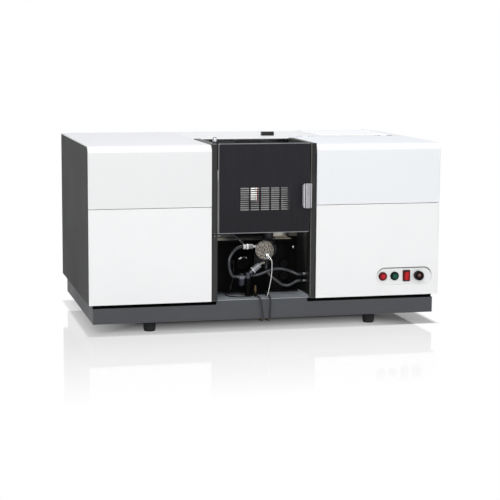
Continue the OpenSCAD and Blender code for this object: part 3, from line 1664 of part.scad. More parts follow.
// Impeller with pitched blades on a cup-shaped hub
module fan_rotor() {
    y = [fan_y + 2, y_rear - shell - 5];
    tip = fan_d/2 - 2.5;
    color("#1d1e20") {
        difference() {
            rod_y(fan_x, y, fan_z, fan_hub_r);
            rod_y(fan_x, [y_rear - shell - 9, y_rear], fan_z, 3 + run_gap);
        }
        for (i = [0:fan_blades - 1])
            rotate_about(fan_x, fan_z, 360*i/fan_blades)
                intersection() {
                    translate([fan_x + fan_hub_r - 2, (y[0] + y[1])/2, fan_z])
                        rotate([40, 0, 0])
                            slab([0, tip - fan_hub_r + 1], [-0.9, 0.9], [-10, 10]);
                    slab([fan_x, fan_x + 2*fan_d], y, about(fan_z, 40));
                }
    }
}

// Gas ports with hose barbs, and the mains inlet
module rear_ports() {
    color("#b08d4f")
        for (x = port_places()) {
            translate([x, y_rear, port_z])
                rotate([-90, 0, 0]) {
                    translate([0, 0, -20]) cylinder(h = 23, r = 6);
                    cylinder(h = 5, r = 9, $fn = 6);
                    cylinder(h = 16, r = 4.5);
                    for (i = [0:2])
                        translate([0, 0, 6 + i*4]) cylinder(h = 3.4, r1 = 5.6, r2 = 4.5);
                }
        }
    color("#202123") {
        difference() {
            union() {
                along_y([y_rear, y_rear + 3])
                    round_box_2d(about(inlet_x, 25), about(port_z, 14), 3);
                along_y([y_rear - 22, y_rear])
                    round_box_2d(about(inlet_x, 13.5), about(port_z, 10), 3);
            }
            along_y([y_rear - 16, y_rear + 4])
                round_box_2d(about(inlet_x, 12), about(port_z, 8), 3);
        }
        for (i = [-1:1])
            slab(about(inlet_x + i*7, 1), [y_rear - 17, y_rear - 3], about(port_z + (i == 0 ? 3 : 0), 2));
    }
}

base_chassis();
feet();
screws();
chassis_frame();
optical_bench();
left_front_panel();
left_side_panel();
right_front_panel();
right_side_panel();
rear_panel();
left_bay_wall();
right_bay_wall();
bay_floor();
bay_back();
heat_shield();
bridge_plate();
latch_block();
right_top_plate();
service_hatch();
lid_hinges();
hinge_pins();
left_lid();
right_lid();
door_plate();
door_frame();
door_pull();
control_plate();
control_bezels();
red_button();
green_button();
rocker();
control_knob();
spray_chamber();
chamber_cap();
nebuliser();
chamber_bracket();
burner_head();
adjuster_knob();
hose_fittings();
drain_union();
drain_trap();
drain_hose();
gas_hoses();
capillary();
drain_tubes();
cables();
igniter_plug();
gas_manifold();
fuel_knob();
air_knob();
lamp_turret();
lamps();
turret_motor();
beam_windows();
monochromator();
photomultiplier();
electronics();
fan_frame();
fan_rotor();
rear_ports();
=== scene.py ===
# Visual model of a bench flame spectrophotometer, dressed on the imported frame
# Places and sizes with no other unit named are in millimetres, in the frame's own coordinates

import math

import bpy
from mathutils import Matrix, Vector


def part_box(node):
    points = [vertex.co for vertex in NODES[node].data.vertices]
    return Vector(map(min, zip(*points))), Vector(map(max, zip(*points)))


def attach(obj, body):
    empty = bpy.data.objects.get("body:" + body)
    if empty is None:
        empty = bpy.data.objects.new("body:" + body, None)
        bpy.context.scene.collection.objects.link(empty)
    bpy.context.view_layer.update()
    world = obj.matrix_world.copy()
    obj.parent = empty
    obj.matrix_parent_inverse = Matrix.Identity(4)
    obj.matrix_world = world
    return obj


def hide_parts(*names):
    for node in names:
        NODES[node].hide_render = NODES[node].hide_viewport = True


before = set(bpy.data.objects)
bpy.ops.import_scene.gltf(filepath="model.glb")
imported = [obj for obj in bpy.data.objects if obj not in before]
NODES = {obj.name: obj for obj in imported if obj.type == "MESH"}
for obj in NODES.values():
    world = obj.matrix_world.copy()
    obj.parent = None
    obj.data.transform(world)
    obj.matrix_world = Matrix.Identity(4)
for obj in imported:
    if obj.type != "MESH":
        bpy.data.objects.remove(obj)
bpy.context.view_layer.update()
ROOT = "instrument"
MM = 0.001
X, Y, Z = range(3)


# Camera: where the photograph was taken from, in metres

CAMERA_AT = (-1.0564, -4.3694, 0.8125)
CAMERA_YAW = math.radians(-13.85)
CAMERA_PITCH = math.radians(7.91)
CAMERA_ROLL = math.radians(0.33)
CAMERA_LENS = 108.15
CAMERA_SENSOR = 36
CAMERA_CLIP = (0.05, 60)


def make_camera():
    look = Vector((
        -math.sin(CAMERA_YAW) * math.cos(CAMERA_PITCH),
        math.cos(CAMERA_YAW) * math.cos(CAMERA_PITCH),
        -math.sin(CAMERA_PITCH),
    ))
    level = Vector((math.cos(CAMERA_YAW), math.sin(CAMERA_YAW), 0))
    upright = level.cross(look)
    right = level * math.cos(CAMERA_ROLL) + upright * math.sin(CAMERA_ROLL)
    up = upright * math.cos(CAMERA_ROLL) - level * math.sin(CAMERA_ROLL)
    data = bpy.data.cameras.new("camera")
    data.lens = CAMERA_LENS
    data.sensor_width = CAMERA_SENSOR
    data.sensor_fit = "HORIZONTAL"
    data.clip_start, data.clip_end = CAMERA_CLIP
    camera = bpy.data.objects.new("camera", data)
    turn = Matrix((right, up, -look)).transposed().to_4x4()
    camera.matrix_world = Matrix.Translation(CAMERA_AT) @ turn
    bpy.context.scene.collection.objects.link(camera)
    bpy.context.scene.camera = camera


make_camera()


# Places read from the frame

def extent(name):
    """The low and high corners of a node, to a tenth of a millimetre."""
    return [[round(v / MM, 1) for v in corner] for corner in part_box(name)]


def face_middle(name):
    """The middle of a node as seen from the front, as X and Z."""
    low, high = extent(name)
    return (low[X] + high[X]) / 2, (low[Z] + high[Z]) / 2


FRONT = extent("door_plate")[0][Y]
LEFT_END, RIGHT_END = (corner[X] for corner in extent("rear_panel"))
REAR = extent("rear_panel")[1][Y]
# The burner bay's sides and back, and the underside of the base's top sheet
(BAY_LEFT, _, DECK), (BAY_RIGHT, BAY_BACK, _) = extent("bay_floor")


# Shader helpers

def linear(r, g, b):
    """A colour written as it shows on screen, 0 to 255, as the shader's own numbers."""
    out = []
    for v in (r, g, b):
        v /= 255
        out.append(v / 12.92 if v <= 0.04045 else ((v + 0.055) / 1.055) ** 2.4)
    return (*out, 1.0)


def grey(v):
    return (v, v, v, 1.0)


def calc(tree, operation, *inputs):
    n = tree.nodes.new("ShaderNodeMath")
    n.operation = operation
    for socket, value in zip(n.inputs, inputs):
        if isinstance(value, (int, float)):
            socket.default_value = value
        else:
            tree.links.new(value, socket)
    return n.outputs[0]


def product(tree, first, *others):
    for other in others:
        first = calc(tree, "MULTIPLY", first, other)
    return first


def distance(tree, aside, above):
    """How far a point lies from an axis, from its two offsets."""
    squares = [calc(tree, "MULTIPLY", offset, offset) for offset in (aside, above)]
    return calc(tree, "SQRT", calc(tree, "ADD", *squares))


def span(tree, value, low, high, start=0.0, end=1.0):
    """Maps a value that runs from low to high onto start to end, and holds it there outside."""
    r = tree.nodes.new("ShaderNodeMapRange")
    for key, number in (("From Min", low), ("From Max", high), ("To Min", start), ("To Max", end)):
        r.inputs[key].default_value = number
    tree.links.new(value, r.inputs["Value"])
    return r.outputs["Result"]


def ramp(tree, fac, stops):
    r = tree.nodes.new("ShaderNodeValToRGB")
    while len(r.color_ramp.elements) < len(stops):
        r.color_ramp.elements.new(0.5)
    for element, (position, colour) in zip(r.color_ramp.elements, stops):
        element.position = position
        element.color = colour
    tree.links.new(fac, r.inputs["Fac"])
    return r.outputs["Color"]


def coordinates(tree, kind="Object"):
    """The three coordinates of a point, in metres."""
    coords = tree.nodes.new("ShaderNodeTexCoord")
    split = tree.nodes.new("ShaderNodeSeparateXYZ")
    tree.links.new(coords.outputs[kind], split.inputs[0])
    return split.outputs


def place(tree):
    """The three coordinates of a point."""
    return [calc(tree, "MULTIPLY", out, 1 / MM) for out in coordinates(tree)]


def noise(tree, scale, detail=2.0, rough=0.5, stretch=(1.0, 1.0, 1.0)):
    coords = tree.nodes.new("ShaderNodeTexCoord")
    mapping = tree.nodes.new("ShaderNodeMapping")
    mapping.inputs["Scale"].default_value = stretch
    tree.links.new(coords.outputs["Object"], mapping.inputs["Vector"])
    n = tree.nodes.new("ShaderNodeTexNoise")
    n.inputs["Scale"].default_value = scale
    n.inputs["Detail"].default_value = detail
    n.inputs["Roughness"].default_value = rough
    tree.links.new(mapping.outputs["Vector"], n.inputs["Vector"])
    return n.outputs["Fac"]


def shader(tree, kind, **values):
    n = tree.nodes.new(kind)
    for key, value in values.items():
        n.inputs[key].default_value = value
    return n.outputs[0]


def blend(tree, fac, first, second):
    mix = tree.nodes.new("ShaderNodeMixShader")
    for socket, value in zip(mix.inputs, (fac, first, second)):
        tree.links.new(value, socket)
    return mix.outputs[0]


# Kinds of material: colours are given as they show on screen, noise by the metre and bumps in metres

PLASTIC_IOR = 1.45
GRAIN_DEPTH = 0.0002
SPECKLE_DEPTH = 0.0006


def principled(m):
    return m.node_tree.nodes["Principled BSDF"]


def feed(m, key, value):
    m.node_tree.links.new(value, principled(m).inputs[key])


def material(name, shown, rough=0.5, metal=0.0, spec=0.5, coat=0.0, coat_rough=0.1, transmission=0.0):
    m = bpy.data.materials.new(name)
    m.use_nodes = True
    m.diffuse_color = linear(*shown)
    values = {
        "Base Color": linear(*shown), "Roughness": rough, "Metallic": metal, "Specular IOR Level": spec,
        "Coat Weight": coat, "Coat Roughness": coat_rough, "Transmission Weight": transmission,
        "IOR": PLASTIC_IOR,
    }
    for key, value in values.items():
        principled(m).inputs[key].default_value = value
    return m


def add_bump(m, fac, strength, depth=GRAIN_DEPTH):
    bump = m.node_tree.nodes.new("ShaderNodeBump")
    bump.inputs["Strength"].default_value = strength
    bump.inputs["Distance"].default_value = depth
    m.node_tree.links.new(fac, bump.inputs["Height"])
    feed(m, "Normal", bump.outputs["Normal"])


def vary(m, fac, shown, spread, rough, rough_spread):
    """Lets colour and roughness drift a little with a pattern."""
    colour = linear(*shown)[:3]
    dark = [c * (1 - spread) for c in colour]
    pale = [min(1.0, c * (1 + spread)) for c in colour]
    feed(m, "Base Color", ramp(m.node_tree, fac, [(0.3, (*dark, 1.0)), (0.7, (*pale, 1.0))]))
    ends = [(0.3, grey(rough - rough_spread)), (0.7, grey(rough + rough_spread))]
    feed(m, "Roughness", ramp(m.node_tree, fac, ends))


def moulded(name, shown, rough=0.42, grain=0.12, spread=0.012):
    m = material(name, shown, rough=rough, spec=0.45)
    vary(m, noise(m.node_tree, 3.0, 3), shown, spread, rough, 0.03)
    add_bump(m, noise(m.node_tree, 1400), grain)
    return m


def painted(name, shown, rough=0.45, spread=0.05, metal=0.0, spec=0.5):
    m = material(name, shown, rough=rough, metal=metal, spec=spec)
    vary(m, noise(m.node_tree, 5.0, 4), shown, spread, rough, 0.05)
    add_bump(m, noise(m.node_tree, 900), 0.1)
    return m


def brushed(name, shown, rough, stretch, spread=0.08, bump=0.15, metal=1.0, spec=0.5):
    m = material(name, shown, rough=rough, metal=metal, spec=spec)
    fac = noise(m.node_tree, 60, 4, 0.7, stretch)
    vary(m, fac, shown, spread, rough, 0.07)
    add_bump(m, fac, bump)
    return m


def cap_plastic(name, shown):
    return material(name, shown, rough=0.3, spec=0.1)


def bezel_plastic(name, shown):
    return material(name, shown, rough=0.4, spec=0.1)


def door_edge(name, shown):
    return brushed(name, shown, 0.4, (3.0, 3.0, 0.2), spread=0.15)


def speckled(name, dark, light):
    m = material(name, light, rough=0.35, metal=0.5)
    fac = noise(m.node_tree, 310, 2, 0.6)
    feed(m, "Base Color", ramp(m.node_tree, fac, [(0.42, linear(*dark)), (0.58, linear(*light))]))
    add_bump(m, fac, 0.5, SPECKLE_DEPTH)
    return m


# Tones by place on the object: painted shade and painted highlights that the plain light doesn't give

def tones(m, value, stops):
    """Colours a material by a value, from stops of that value and a colour as it shows on screen."""
    low, high = stops[0][0], stops[-1][0]
    parts = [((at - low) / (high - low), linear(*shown)) for at, shown in stops]
    feed(m, "Base Color", ramp(m.node_tree, span(m.node_tree, value, low, high), parts))
    return m


def banded(m, axis, stops):
    """Colours a material by its place along one axis."""
    return tones(m, place(m.node_tree)[axis], stops)


def ringed(m, middle, stops):
    """Colours a material by its distance from an axis that runs front to back through a middle."""
    tree = m.node_tree
    x, _, z = place(tree)
    aside = calc(tree, "SUBTRACT", x, middle[0])
    above = calc(tree, "SUBTRACT", z, middle[1])
    return tones(m, distance(tree, aside, above), stops)


def shaded(m, amount):
    """Darkens a material's own colour by an amount between 0 and 1."""
    tree = m.node_tree
    socket = principled(m).inputs["Base Color"]
    mix = tree.nodes.new("ShaderNodeMix")
    mix.data_type = "RGBA"
    tree.links.new(amount, mix.inputs["Factor"])
    tree.links.new(socket.links[0].from_socket, mix.inputs["A"])
    mix.inputs["B"].default_value = grey(0.0)
    tree.links.new(mix.outputs["Result"], socket)
    return m


def faded(m, axis, clear, dark, amount):
    """Paints shade on a material, darker and darker from one place along an axis to another."""
    tree = m.node_tree
    return shaded(m, span(tree, place(tree)[axis], clear, dark, 0.0, amount))


# White covers; the lids carry a painted highlight band where their fronts round over to their tops

LID_HIGHLIGHT_BAND = (507, 512, 523, 526)


def lid_cover(name, shown, front, highlight, top):
    return banded(moulded(name, shown), Z, list(zip(LID_HIGHLIGHT_BAND, (front, highlight, highlight, top))))


WHITE = moulded("white_cover", (238, 238, 238))
# The lids are copies of the covers' white with painted shade, a little darker than the covers and darker on
# their fronts than their tops; the right lid also has a painted cool tint of skylight
SKYLIT_LID_WHITE = lid_cover("skylit_lid_white", (234, 236, 239), (233, 235, 237), (250, 250, 252), (236, 238, 241))
SHADED_LID_WHITE = lid_cover("shaded_lid_white", (231, 231, 231), (231, 231, 231), (250, 250, 250), (232, 232, 234))
HATCH = painted("white_hatch", (252, 252, 254), rough=0.35, spread=0.01)
WHITE_PLATE = painted("white_plate", (236, 237, 240), rough=0.35, spread=0.01)
FIELD = moulded("field_plate", (234, 234, 234), rough=0.35, grain=0.05)

# Painted metal

CHARCOAL = painted("charcoal_paint", (66, 66, 66), rough=0.65, spread=0.04, spec=0.12)
BASE = painted("base_paint", (77, 78, 81), rough=0.55, spread=0.04, spec=0.3)
WALL = painted("wall_paint", (46, 46, 45), rough=0.42, spread=0.06, spec=0.35)
# The right bay wall's paint carries painted shade, darker towards its top
WALL_RIGHT_SHADED_TOP = faded(
    painted("wall_paint_right_shaded_top", (46, 46, 45), rough=0.42, spread=0.06, spec=0.35), Z, 425.0, 450.0, 0.4)
# Painted shade for the right wall's inner side, and a painted highlight for its front edge
WALL_INNER_SHADE = painted("wall_paint_inner_shade", (28, 28, 28), rough=0.55, spread=0.06, spec=0.1)
COLUMN_EDGE_HIGHLIGHT = material("column_edge_highlight", (112, 112, 108), rough=0.3)
BLACK_PAINT = painted("black_paint", (9, 9, 10), rough=0.7, spread=0.15, spec=0.12)
GREY_PAINT = painted("grey_paint", (150, 152, 155), rough=0.45)
# Painted shadow, put on gaps and edges that lie in shade
PAINTED_SHADOW = material("recess_shadow", (12, 12, 13), rough=0.8, spec=0.1)
TRAY = brushed("tray_paint", (196, 202, 208), 0.38, (0.2, 5.0, 5.0), bump=0.05, metal=0.3)
OUTLET = material("tray_outlet", (30, 30, 29), rough=0.4, spec=0.1)
# The door's paint carries painted shade, darker over its lower part
SHADED_DOOR = faded(
    brushed("door_paint", (32, 32, 37), 0.5, (6.0, 6.0, 0.12), spread=0.22, bump=0.05, metal=0.1, spec=0.25),
    Z, 410.0, 320.0, 0.22)

# Bare metal

STEEL = brushed("steel", (196, 198, 200), 0.28, (0.15, 6.0, 6.0))
# The chimney's lining carries painted shade, darker towards its left
LINER_SHADED_LEFT = faded(brushed("liner_steel_shaded_left", (236, 236, 234), 0.45, (0.15, 6.0, 6.0)), X, 85.0, 5.0, 0.38)
POLISHED = brushed("polished_metal", (228, 228, 228), 0.18, (2.0, 2.0, 2.0), spread=0.15)
BURNER = brushed("burner_metal", (150, 150, 150), 0.42, (0.3, 4.0, 4.0))
ALU = brushed("aluminium", (205, 207, 212), 0.33, (3.0, 3.0, 0.2), spread=0.05)
CAST = painted("cast_aluminium", (150, 152, 155), rough=0.55, spread=0.1, metal=0.7)
CAP = speckled("cap_metal", (50, 46, 41), (170, 164, 154))
BRASS = material("brass", (196, 160, 96), rough=0.3, metal=1.0)
# Darker brass
OLIVE = material("dark_brass", (96, 84, 52), rough=0.4, metal=0.6)
PULL = brushed("pull_aluminium", (226, 226, 230), 0.3, (6.0, 6.0, 0.12), spread=0.04, bump=0.05, metal=0.6)
# Painted shade in the pull's grooves
GROOVE_SHADE = material("pull_groove_shade", (96, 96, 100), rough=0.4, metal=0.5)
EDGE = door_edge("door_edge", (140, 142, 146))
# The door frame's upper edge with a painted highlight, and its left edge with painted shade
EDGE_TOP_HIGHLIGHT = door_edge("door_edge_top_highlight", (196, 198, 202))
EDGE_LEFT_SHADE = door_edge("door_edge_left_shade", (84, 86, 90))

# The heat shield's plate carries painted light: painted bright beside the spray chamber and painted dark in
# its shadow
SHIELD_PAINTED_LIGHT = banded(material("shield_steel_painted_light", (205, 203, 198), rough=0.6, spec=0.1), X, [
    (-150, (70, 70, 62)), (-126, (112, 110, 100)), (-104, (70, 68, 62)), (-92, (10, 10, 10)),
    (28, (12, 12, 12)), (36, (80, 76, 68)), (70, (124, 118, 106))])

# Painted light on the strip of the bay's back wall under the door: bright at both sides of the burner's
# shadow
BACK_WALL_PAINTED_LIGHT = banded(material("back_wall_painted_light", (9, 9, 10), rough=0.6, spec=0.12), X, [
    (-147, (200, 196, 180)), (-112, (210, 208, 196)), (-100, (130, 128, 120)), (-84, (96, 94, 88)),
    (-64, (14, 14, 14)), (30, (14, 14, 14)), (44, (190, 186, 176)), (52, (250, 248, 242)),
    (76, (250, 248, 240)), (88, (120, 116, 108)), (96, (40, 38, 36)), (104, (110, 104, 94))])

# Plastic, rubber and glass

BLACK = moulded("black_plastic", (26, 26, 28), rough=0.45, spread=0.1)
CHAMBER = moulded("chamber_plastic", (38, 38, 41), rough=0.35, spread=0.1)
KNOB_GLOSS = material("knob_gloss", (5, 5, 6), rough=0.3, spec=0.03)
KNOB_RIM = material("knob_rim", (8, 8, 10), rough=0.12, spec=0.8, coat=1.0, coat_rough=0.08)
VALVE = material("valve_knob", (14, 14, 15), rough=0.5, spec=0.15)
RUBBER = moulded("foot_rubber", (32, 32, 33), rough=0.7, spread=0.1)
HOSE_RUBBER = material("hose_rubber", (8, 8, 9), rough=0.6, spec=0.1)
GREY_TUBE = material("grey_tube", (38, 41, 46), rough=0.3, coat=0.4, coat_rough=0.15)
BLACK_TUBE = material("black_tube", (24, 24, 27), rough=0.35, coat=0.2)
FITTING = material("white_fitting", (236, 236, 232), rough=0.3, coat=0.3)
RED = material("igniter_red", (168, 74, 72), rough=0.5, spec=0.1)
CLEAR = material("clear_fitting", (208, 210, 214), rough=0.2, coat=0.4, transmission=0.3)
SMOKED = material("smoked_clear", (50, 54, 64), rough=0.15, coat=0.5, transmission=0.2)
BARREL = material("grey_barrel", (132, 134, 138), rough=0.25, coat=0.4, transmission=0.1)
TAPER = material("union_taper", (140, 138, 130), rough=0.35)
# The drain trap has a painted highlight band near its top, and is darker towards its bottom
TRAP_PAINTED_HIGHLIGHT = banded(material("trap_clear", (58, 66, 80), rough=0.2, spec=0.3, transmission=0.2), Z, [
    (116, (14, 15, 18)), (121, (40, 43, 52)), (138, (46, 50, 62)), (141, (120, 124, 132)),
    (147, (130, 132, 138)), (149, (50, 52, 58))])
# The capillary is darker low down, where it runs along the tray
CAPILLARY = banded(material("capillary_tube", (226, 226, 222), rough=0.3, coat=0.2), Z, [
    (88, (110, 110, 108)), (94, (130, 130, 127)), (100, (222, 222, 218)), (204, (230, 230, 226))])
GLASS = material("lamp_glass", (222, 214, 200), rough=0.05, transmission=0.6)
BOARD = painted("board", (38, 98, 62), rough=0.4, spread=0.15)

# Buttons, rocker and knob: each cap has a painted highlight at its middle and painted shade towards its rim

KNOB_X, KNOB_Z = face_middle("control_knob")
KNOB_GLINT = (KNOB_X - 0.5, KNOB_Z + 2.0)
MAROON = ringed(cap_plastic("maroon_plastic", (74, 20, 30)), KNOB_GLINT, [
    (0, (146, 118, 120)), (2, (140, 110, 112)), (4, (70, 40, 43)), (6.5, (48, 22, 25)), (9, (18, 4, 5)),
    (16, (12, 2, 3))])
RED_BUTTON = ringed(cap_plastic("red_button", (196, 40, 48)), face_middle("red_button"), [
    (0, (198, 40, 50)), (4.5, (190, 38, 48)), (7, (132, 34, 40)), (9, (96, 26, 26))])
GREEN = ringed(cap_plastic("green_plastic", (26, 86, 64)), face_middle("green_button"), [
    (0, (36, 92, 72)), (5, (32, 84, 66)), (7, (28, 66, 52)), (9, (14, 34, 26)), (12, (10, 26, 19))])
RED_LENS = banded(cap_plastic("red_lens", (192, 32, 36)), X, [
    (405, (104, 26, 24)), (409, (160, 42, 44)), (412, (196, 36, 40)), (417, (186, 38, 40)),
    (420.5, (136, 30, 30))])
# Painted shade of the caps' rims for the button rings, and for the two sides of the rocker's frame
RED_RIM_SHADE = bezel_plastic("red_rim_shade", (92, 36, 34))
GREEN_RIM_SHADE = bezel_plastic("green_rim_shade", (8, 22, 16))
ROCKER_LEFT_SHADE = bezel_plastic("rocker_frame_left_shade", (84, 26, 24))
ROCKER_RIGHT_SHADE = bezel_plastic("rocker_frame_right_shade", (120, 24, 24))

# Painted shade that lies on a part of one piece

# The control field's opening: its middle, and half the length of its straight edges
FIELD_AT = (406.0, 143.0)
FIELD_STRAIGHT = 59.0


def shade_field():
    """Paints the shadow that the upper edge of the control field's opening throws on the field."""
    tree = FIELD.node_tree
    x, _, z = place(tree)
    from_middle = calc(tree, "ABSOLUTE", calc(tree, "SUBTRACT", x, FIELD_AT[0]))
    aside = calc(tree, "MAXIMUM", calc(tree, "SUBTRACT", from_middle, FIELD_STRAIGHT), 0.0)
    above = calc(tree, "SUBTRACT", z, FIELD_AT[1])
    rim = span(tree, distance(tree, aside, above), 21.0, 22.8)
    upper = span(tree, above, 2.0, 17.0)
    shaded(FIELD, product(tree, rim, upper, 0.95))


def shade_tray():
    """Paints shade on the tray at its back and in the spray chamber's shadow, and dims it towards its front
    edge.
    """
    tree = TRAY.node_tree
    x, y, _ = place(tree)
    back = span(tree, y, -200.0, -182.0, 0.0, 0.97)
    left_of_chamber = span(tree, x, -64.0, -50.0)
    right_of_chamber = span(tree, x, 32.0, 20.0)
    behind_cap = span(tree, y, -236.0, -222.0, 0.0, 0.98)
    chamber = product(tree, left_of_chamber, right_of_chamber, behind_cap)
    front = span(tree, y, -262.0, -280.0, 0.0, 0.4)
    shaded(TRAY, calc(tree, "MAXIMUM", calc(tree, "MAXIMUM", back, chamber), front))


def shade_back_wall():
    """Paints shade over the back wall outside the strip between the heat shield and the door's lower edge, so
    only that strip shows its painted light.
    """
    tree = BACK_WALL_PAINTED_LIGHT.node_tree
    z = place(tree)[Z]
    below = span(tree, z, 247.0, 249.0, 0.992, 0.0)
    above = span(tree, z, 279.0, 281.0, 0.0, 0.992)
    shaded(BACK_WALL_PAINTED_LIGHT, calc(tree, "MAXIMUM", below, above))


shade_field()
shade_tray()
shade_back_wall()


# The finish of each node

FINISH = {
    "base_chassis": BASE, "feet": RUBBER, "screws": STEEL, "chassis_frame": GREY_PAINT,
    "optical_bench": CAST, "left_front_panel": WHITE, "left_side_panel": CHARCOAL,
    "right_front_panel": WHITE, "right_side_panel": CHARCOAL, "rear_panel": CHARCOAL, "left_bay_wall": WALL,
    "right_bay_wall": WALL_RIGHT_SHADED_TOP, "bay_floor": TRAY, "bay_back": BACK_WALL_PAINTED_LIGHT, "heat_shield": LINER_SHADED_LEFT,
    "bridge_plate": WHITE, "latch_block": BLACK, "right_top_plate": WHITE, "service_hatch": HATCH,
    "lid_hinges": STEEL, "hinge_pins": STEEL, "left_lid": SHADED_LID_WHITE, "right_lid": SKYLIT_LID_WHITE,
    "door_plate": SHADED_DOOR, "door_frame": EDGE, "door_pull": PULL, "control_plate": FIELD,
    "control_bezels": BLACK, "red_button": RED_BUTTON, "green_button": GREEN, "rocker": RED_LENS,
    "control_knob": MAROON, "spray_chamber": CHAMBER, "chamber_cap": CAP, "nebuliser": POLISHED,
    "chamber_bracket": BLACK, "burner_head": BURNER, "adjuster_knob": KNOB_GLOSS, "hose_fittings": FITTING,
    "drain_union": CLEAR, "drain_trap": TRAP_PAINTED_HIGHLIGHT, "drain_hose": HOSE_RUBBER, "gas_hoses": GREY_TUBE,
    "capillary": CAPILLARY, "drain_tubes": BLACK_TUBE, "cables": BLACK_TUBE, "igniter_plug": BLACK_TUBE,
    "gas_manifold": ALU, "fuel_knob": VALVE, "air_knob": VALVE, "lamp_turret": GREY_PAINT, "lamps": GLASS,
    "turret_motor": GREY_PAINT, "beam_windows": BLACK_PAINT, "monochromator": CAST, "photomultiplier": ALU,
    "electronics": BOARD, "fan_frame": BLACK, "fan_rotor": BLACK, "rear_ports": BRASS,
}


# Carried-over nodes: material, welded vertices and softened edges

WELD_REACH = 0.01
BEVEL_ANGLE = math.radians(30)
PLAIN_BEVEL = 0.3
BEVELS = {
    "base_chassis": 1.0, "left_front_panel": 0.7, "right_front_panel": 0.7, "left_side_panel": 0.7,
    "right_side_panel": 0.7, "left_lid": 0.8, "right_lid": 0.8, "bridge_plate": 0.8, "right_top_plate": 0.8,
    "service_hatch": 0.5, "latch_block": 0.8, "left_bay_wall": 0.7, "right_bay_wall": 0.7, "bay_floor": 0.4,
    "door_plate": 0.25, "door_frame": 0.35, "door_pull": 0.6, "control_bezels": 0.4, "red_button": 0.6,
    "green_button": 0.6, "rocker": 0.5, "chamber_cap": 0.25, "burner_head": 0.25, "hose_fittings": 0.25,
    "nebuliser": 0.2,
}
# Plates with long thin faces, which smooth shading would spoil
FLAT = {"right_top_plate", "rear_panel"}


def dress(name):
    o = NODES[name]
    smooth = name not in FLAT
    o.data.materials.clear()
    o.data.materials.append(FINISH[name])
    custom = o.data.attributes.get("custom_normal")
    if custom:
        o.data.attributes.remove(custom)
    for p in o.data.polygons:
        p.use_smooth = smooth
    weld = o.modifiers.new("weld", "WELD")
    weld.merge_threshold = WELD_REACH * MM
    bevel = o.modifiers.new("bevel", "BEVEL")
    bevel.width = BEVELS.get(name, PLAIN_BEVEL) * MM
    bevel.segments = 2
    bevel.limit_method = "ANGLE"
    bevel.angle_limit = BEVEL_ANGLE
    bevel.harden_normals = smooth


# Second finishes on a part of a node's faces

def repaint(name, finish, belongs):
    """Gives a second finish to the faces of a node whose middles pass a test."""
    o = NODES[name]
    o.data.materials.append(finish)
    slot = len(o.data.materials) - 1
    for p in o.data.polygons:
        if belongs(o.matrix_world @ p.center / MM):
            p.material_index = slot


def paint(name, finish, **box):
    """Gives a second finish to the faces whose middles lie in a box of x, y and z, each from low to high."""
    limits = [("xyz".index(axis), low, high) for axis, (low, high) in box.items()]
    repaint(name, finish, lambda at: all(low <= at[axis] <= high for axis, low, high in limits))


def paint_along(name, finish, start, end, low, high):
    """Gives a second finish to the faces whose middles lie between two lengths on a line."""
    way = (Vector(end) - Vector(start)).normalized()
    repaint(name, finish, lambda at: low <= (at - Vector(start)).dot(way) <= high)


def near(value, reach):
    """The range that reaches to both sides of a value."""
    return value - reach, value + reach


# Painted shadow in the gap between the base and both front panels: where it is painted dark, as lengths
# behind the front, its height, and how far it runs into the bay at the right
GAP_BEHIND = (12.8, 24)
GAP_HEIGHT = 11
GAP_INTO_BAY = 8

# The power supply's case among the electronics
SUPPLY_Y = (-220, 10)
SUPPLY_Z = (90, 165)


def paint_gap():
    y = [FRONT + behind for behind in GAP_BEHIND]
    for x in ((LEFT_END, BAY_LEFT), (BAY_RIGHT - GAP_INTO_BAY, RIGHT_END)):
        paint("base_chassis", PAINTED_SHADOW, x=x, y=y, z=(DECK - GAP_HEIGHT - 0.1, DECK + 0.1))


def paint_cabinet():
    # Painted shadow on the bridge's front edge over the chimney
    paint("bridge_plate", PAINTED_SHADOW, y=near(extent("bridge_plate")[0][Y], 0.2))
    # White screw heads on the hatch, black mains inlet, bright fan guard and power supply
    paint("screws", WHITE_PLATE, z=near(extent("service_hatch")[1][Z], 9))
    paint("rear_ports", BLACK, x=(extent("fan_frame")[0][X], RIGHT_END))
    paint("fan_frame", STEEL, y=(REAR + 0.1, REAR + 15))
    paint("electronics", STEEL, y=SUPPLY_Y, z=SUPPLY_Z)


# The igniter on the chimney's lining: its block, and the rod beside it with a red right half
IGNITER_Y = (-64, -53)
BLOCK_X = (6, 20.5)
BLOCK_Z = (343.9, 380.1)
ROD_X = (19.5, 31)
ROD_Z = (341, 385)
RED_FROM = 26.2


def paint_shield():
    # Painted light and shade on the plate round the burner's stem, painted shadow on its front lip, then the
    # igniter
    _, front, foot = extent("heat_shield")[0]
    paint("heat_shield", SHIELD_PAINTED_LIGHT, z=(foot - 1, foot + 9))
    paint("heat_shield", PAINTED_SHADOW, y=near(front, 0.3))
    paint("heat_shield", FITTING, x=BLOCK_X, y=IGNITER_Y, z=BLOCK_Z)
    paint("heat_shield", FITTING, x=(ROD_X[0], RED_FROM), y=IGNITER_Y, z=ROD_Z)
    paint("heat_shield", RED, x=(RED_FROM, ROD_X[1]), y=IGNITER_Y, z=ROD_Z)


# The drain cock's axis, and the drain line's two ends
COCK = (-22, -239)
UNION_TOP = (1.4, -238.6, 186)
UNION_END = (-44, -238.6, 151)


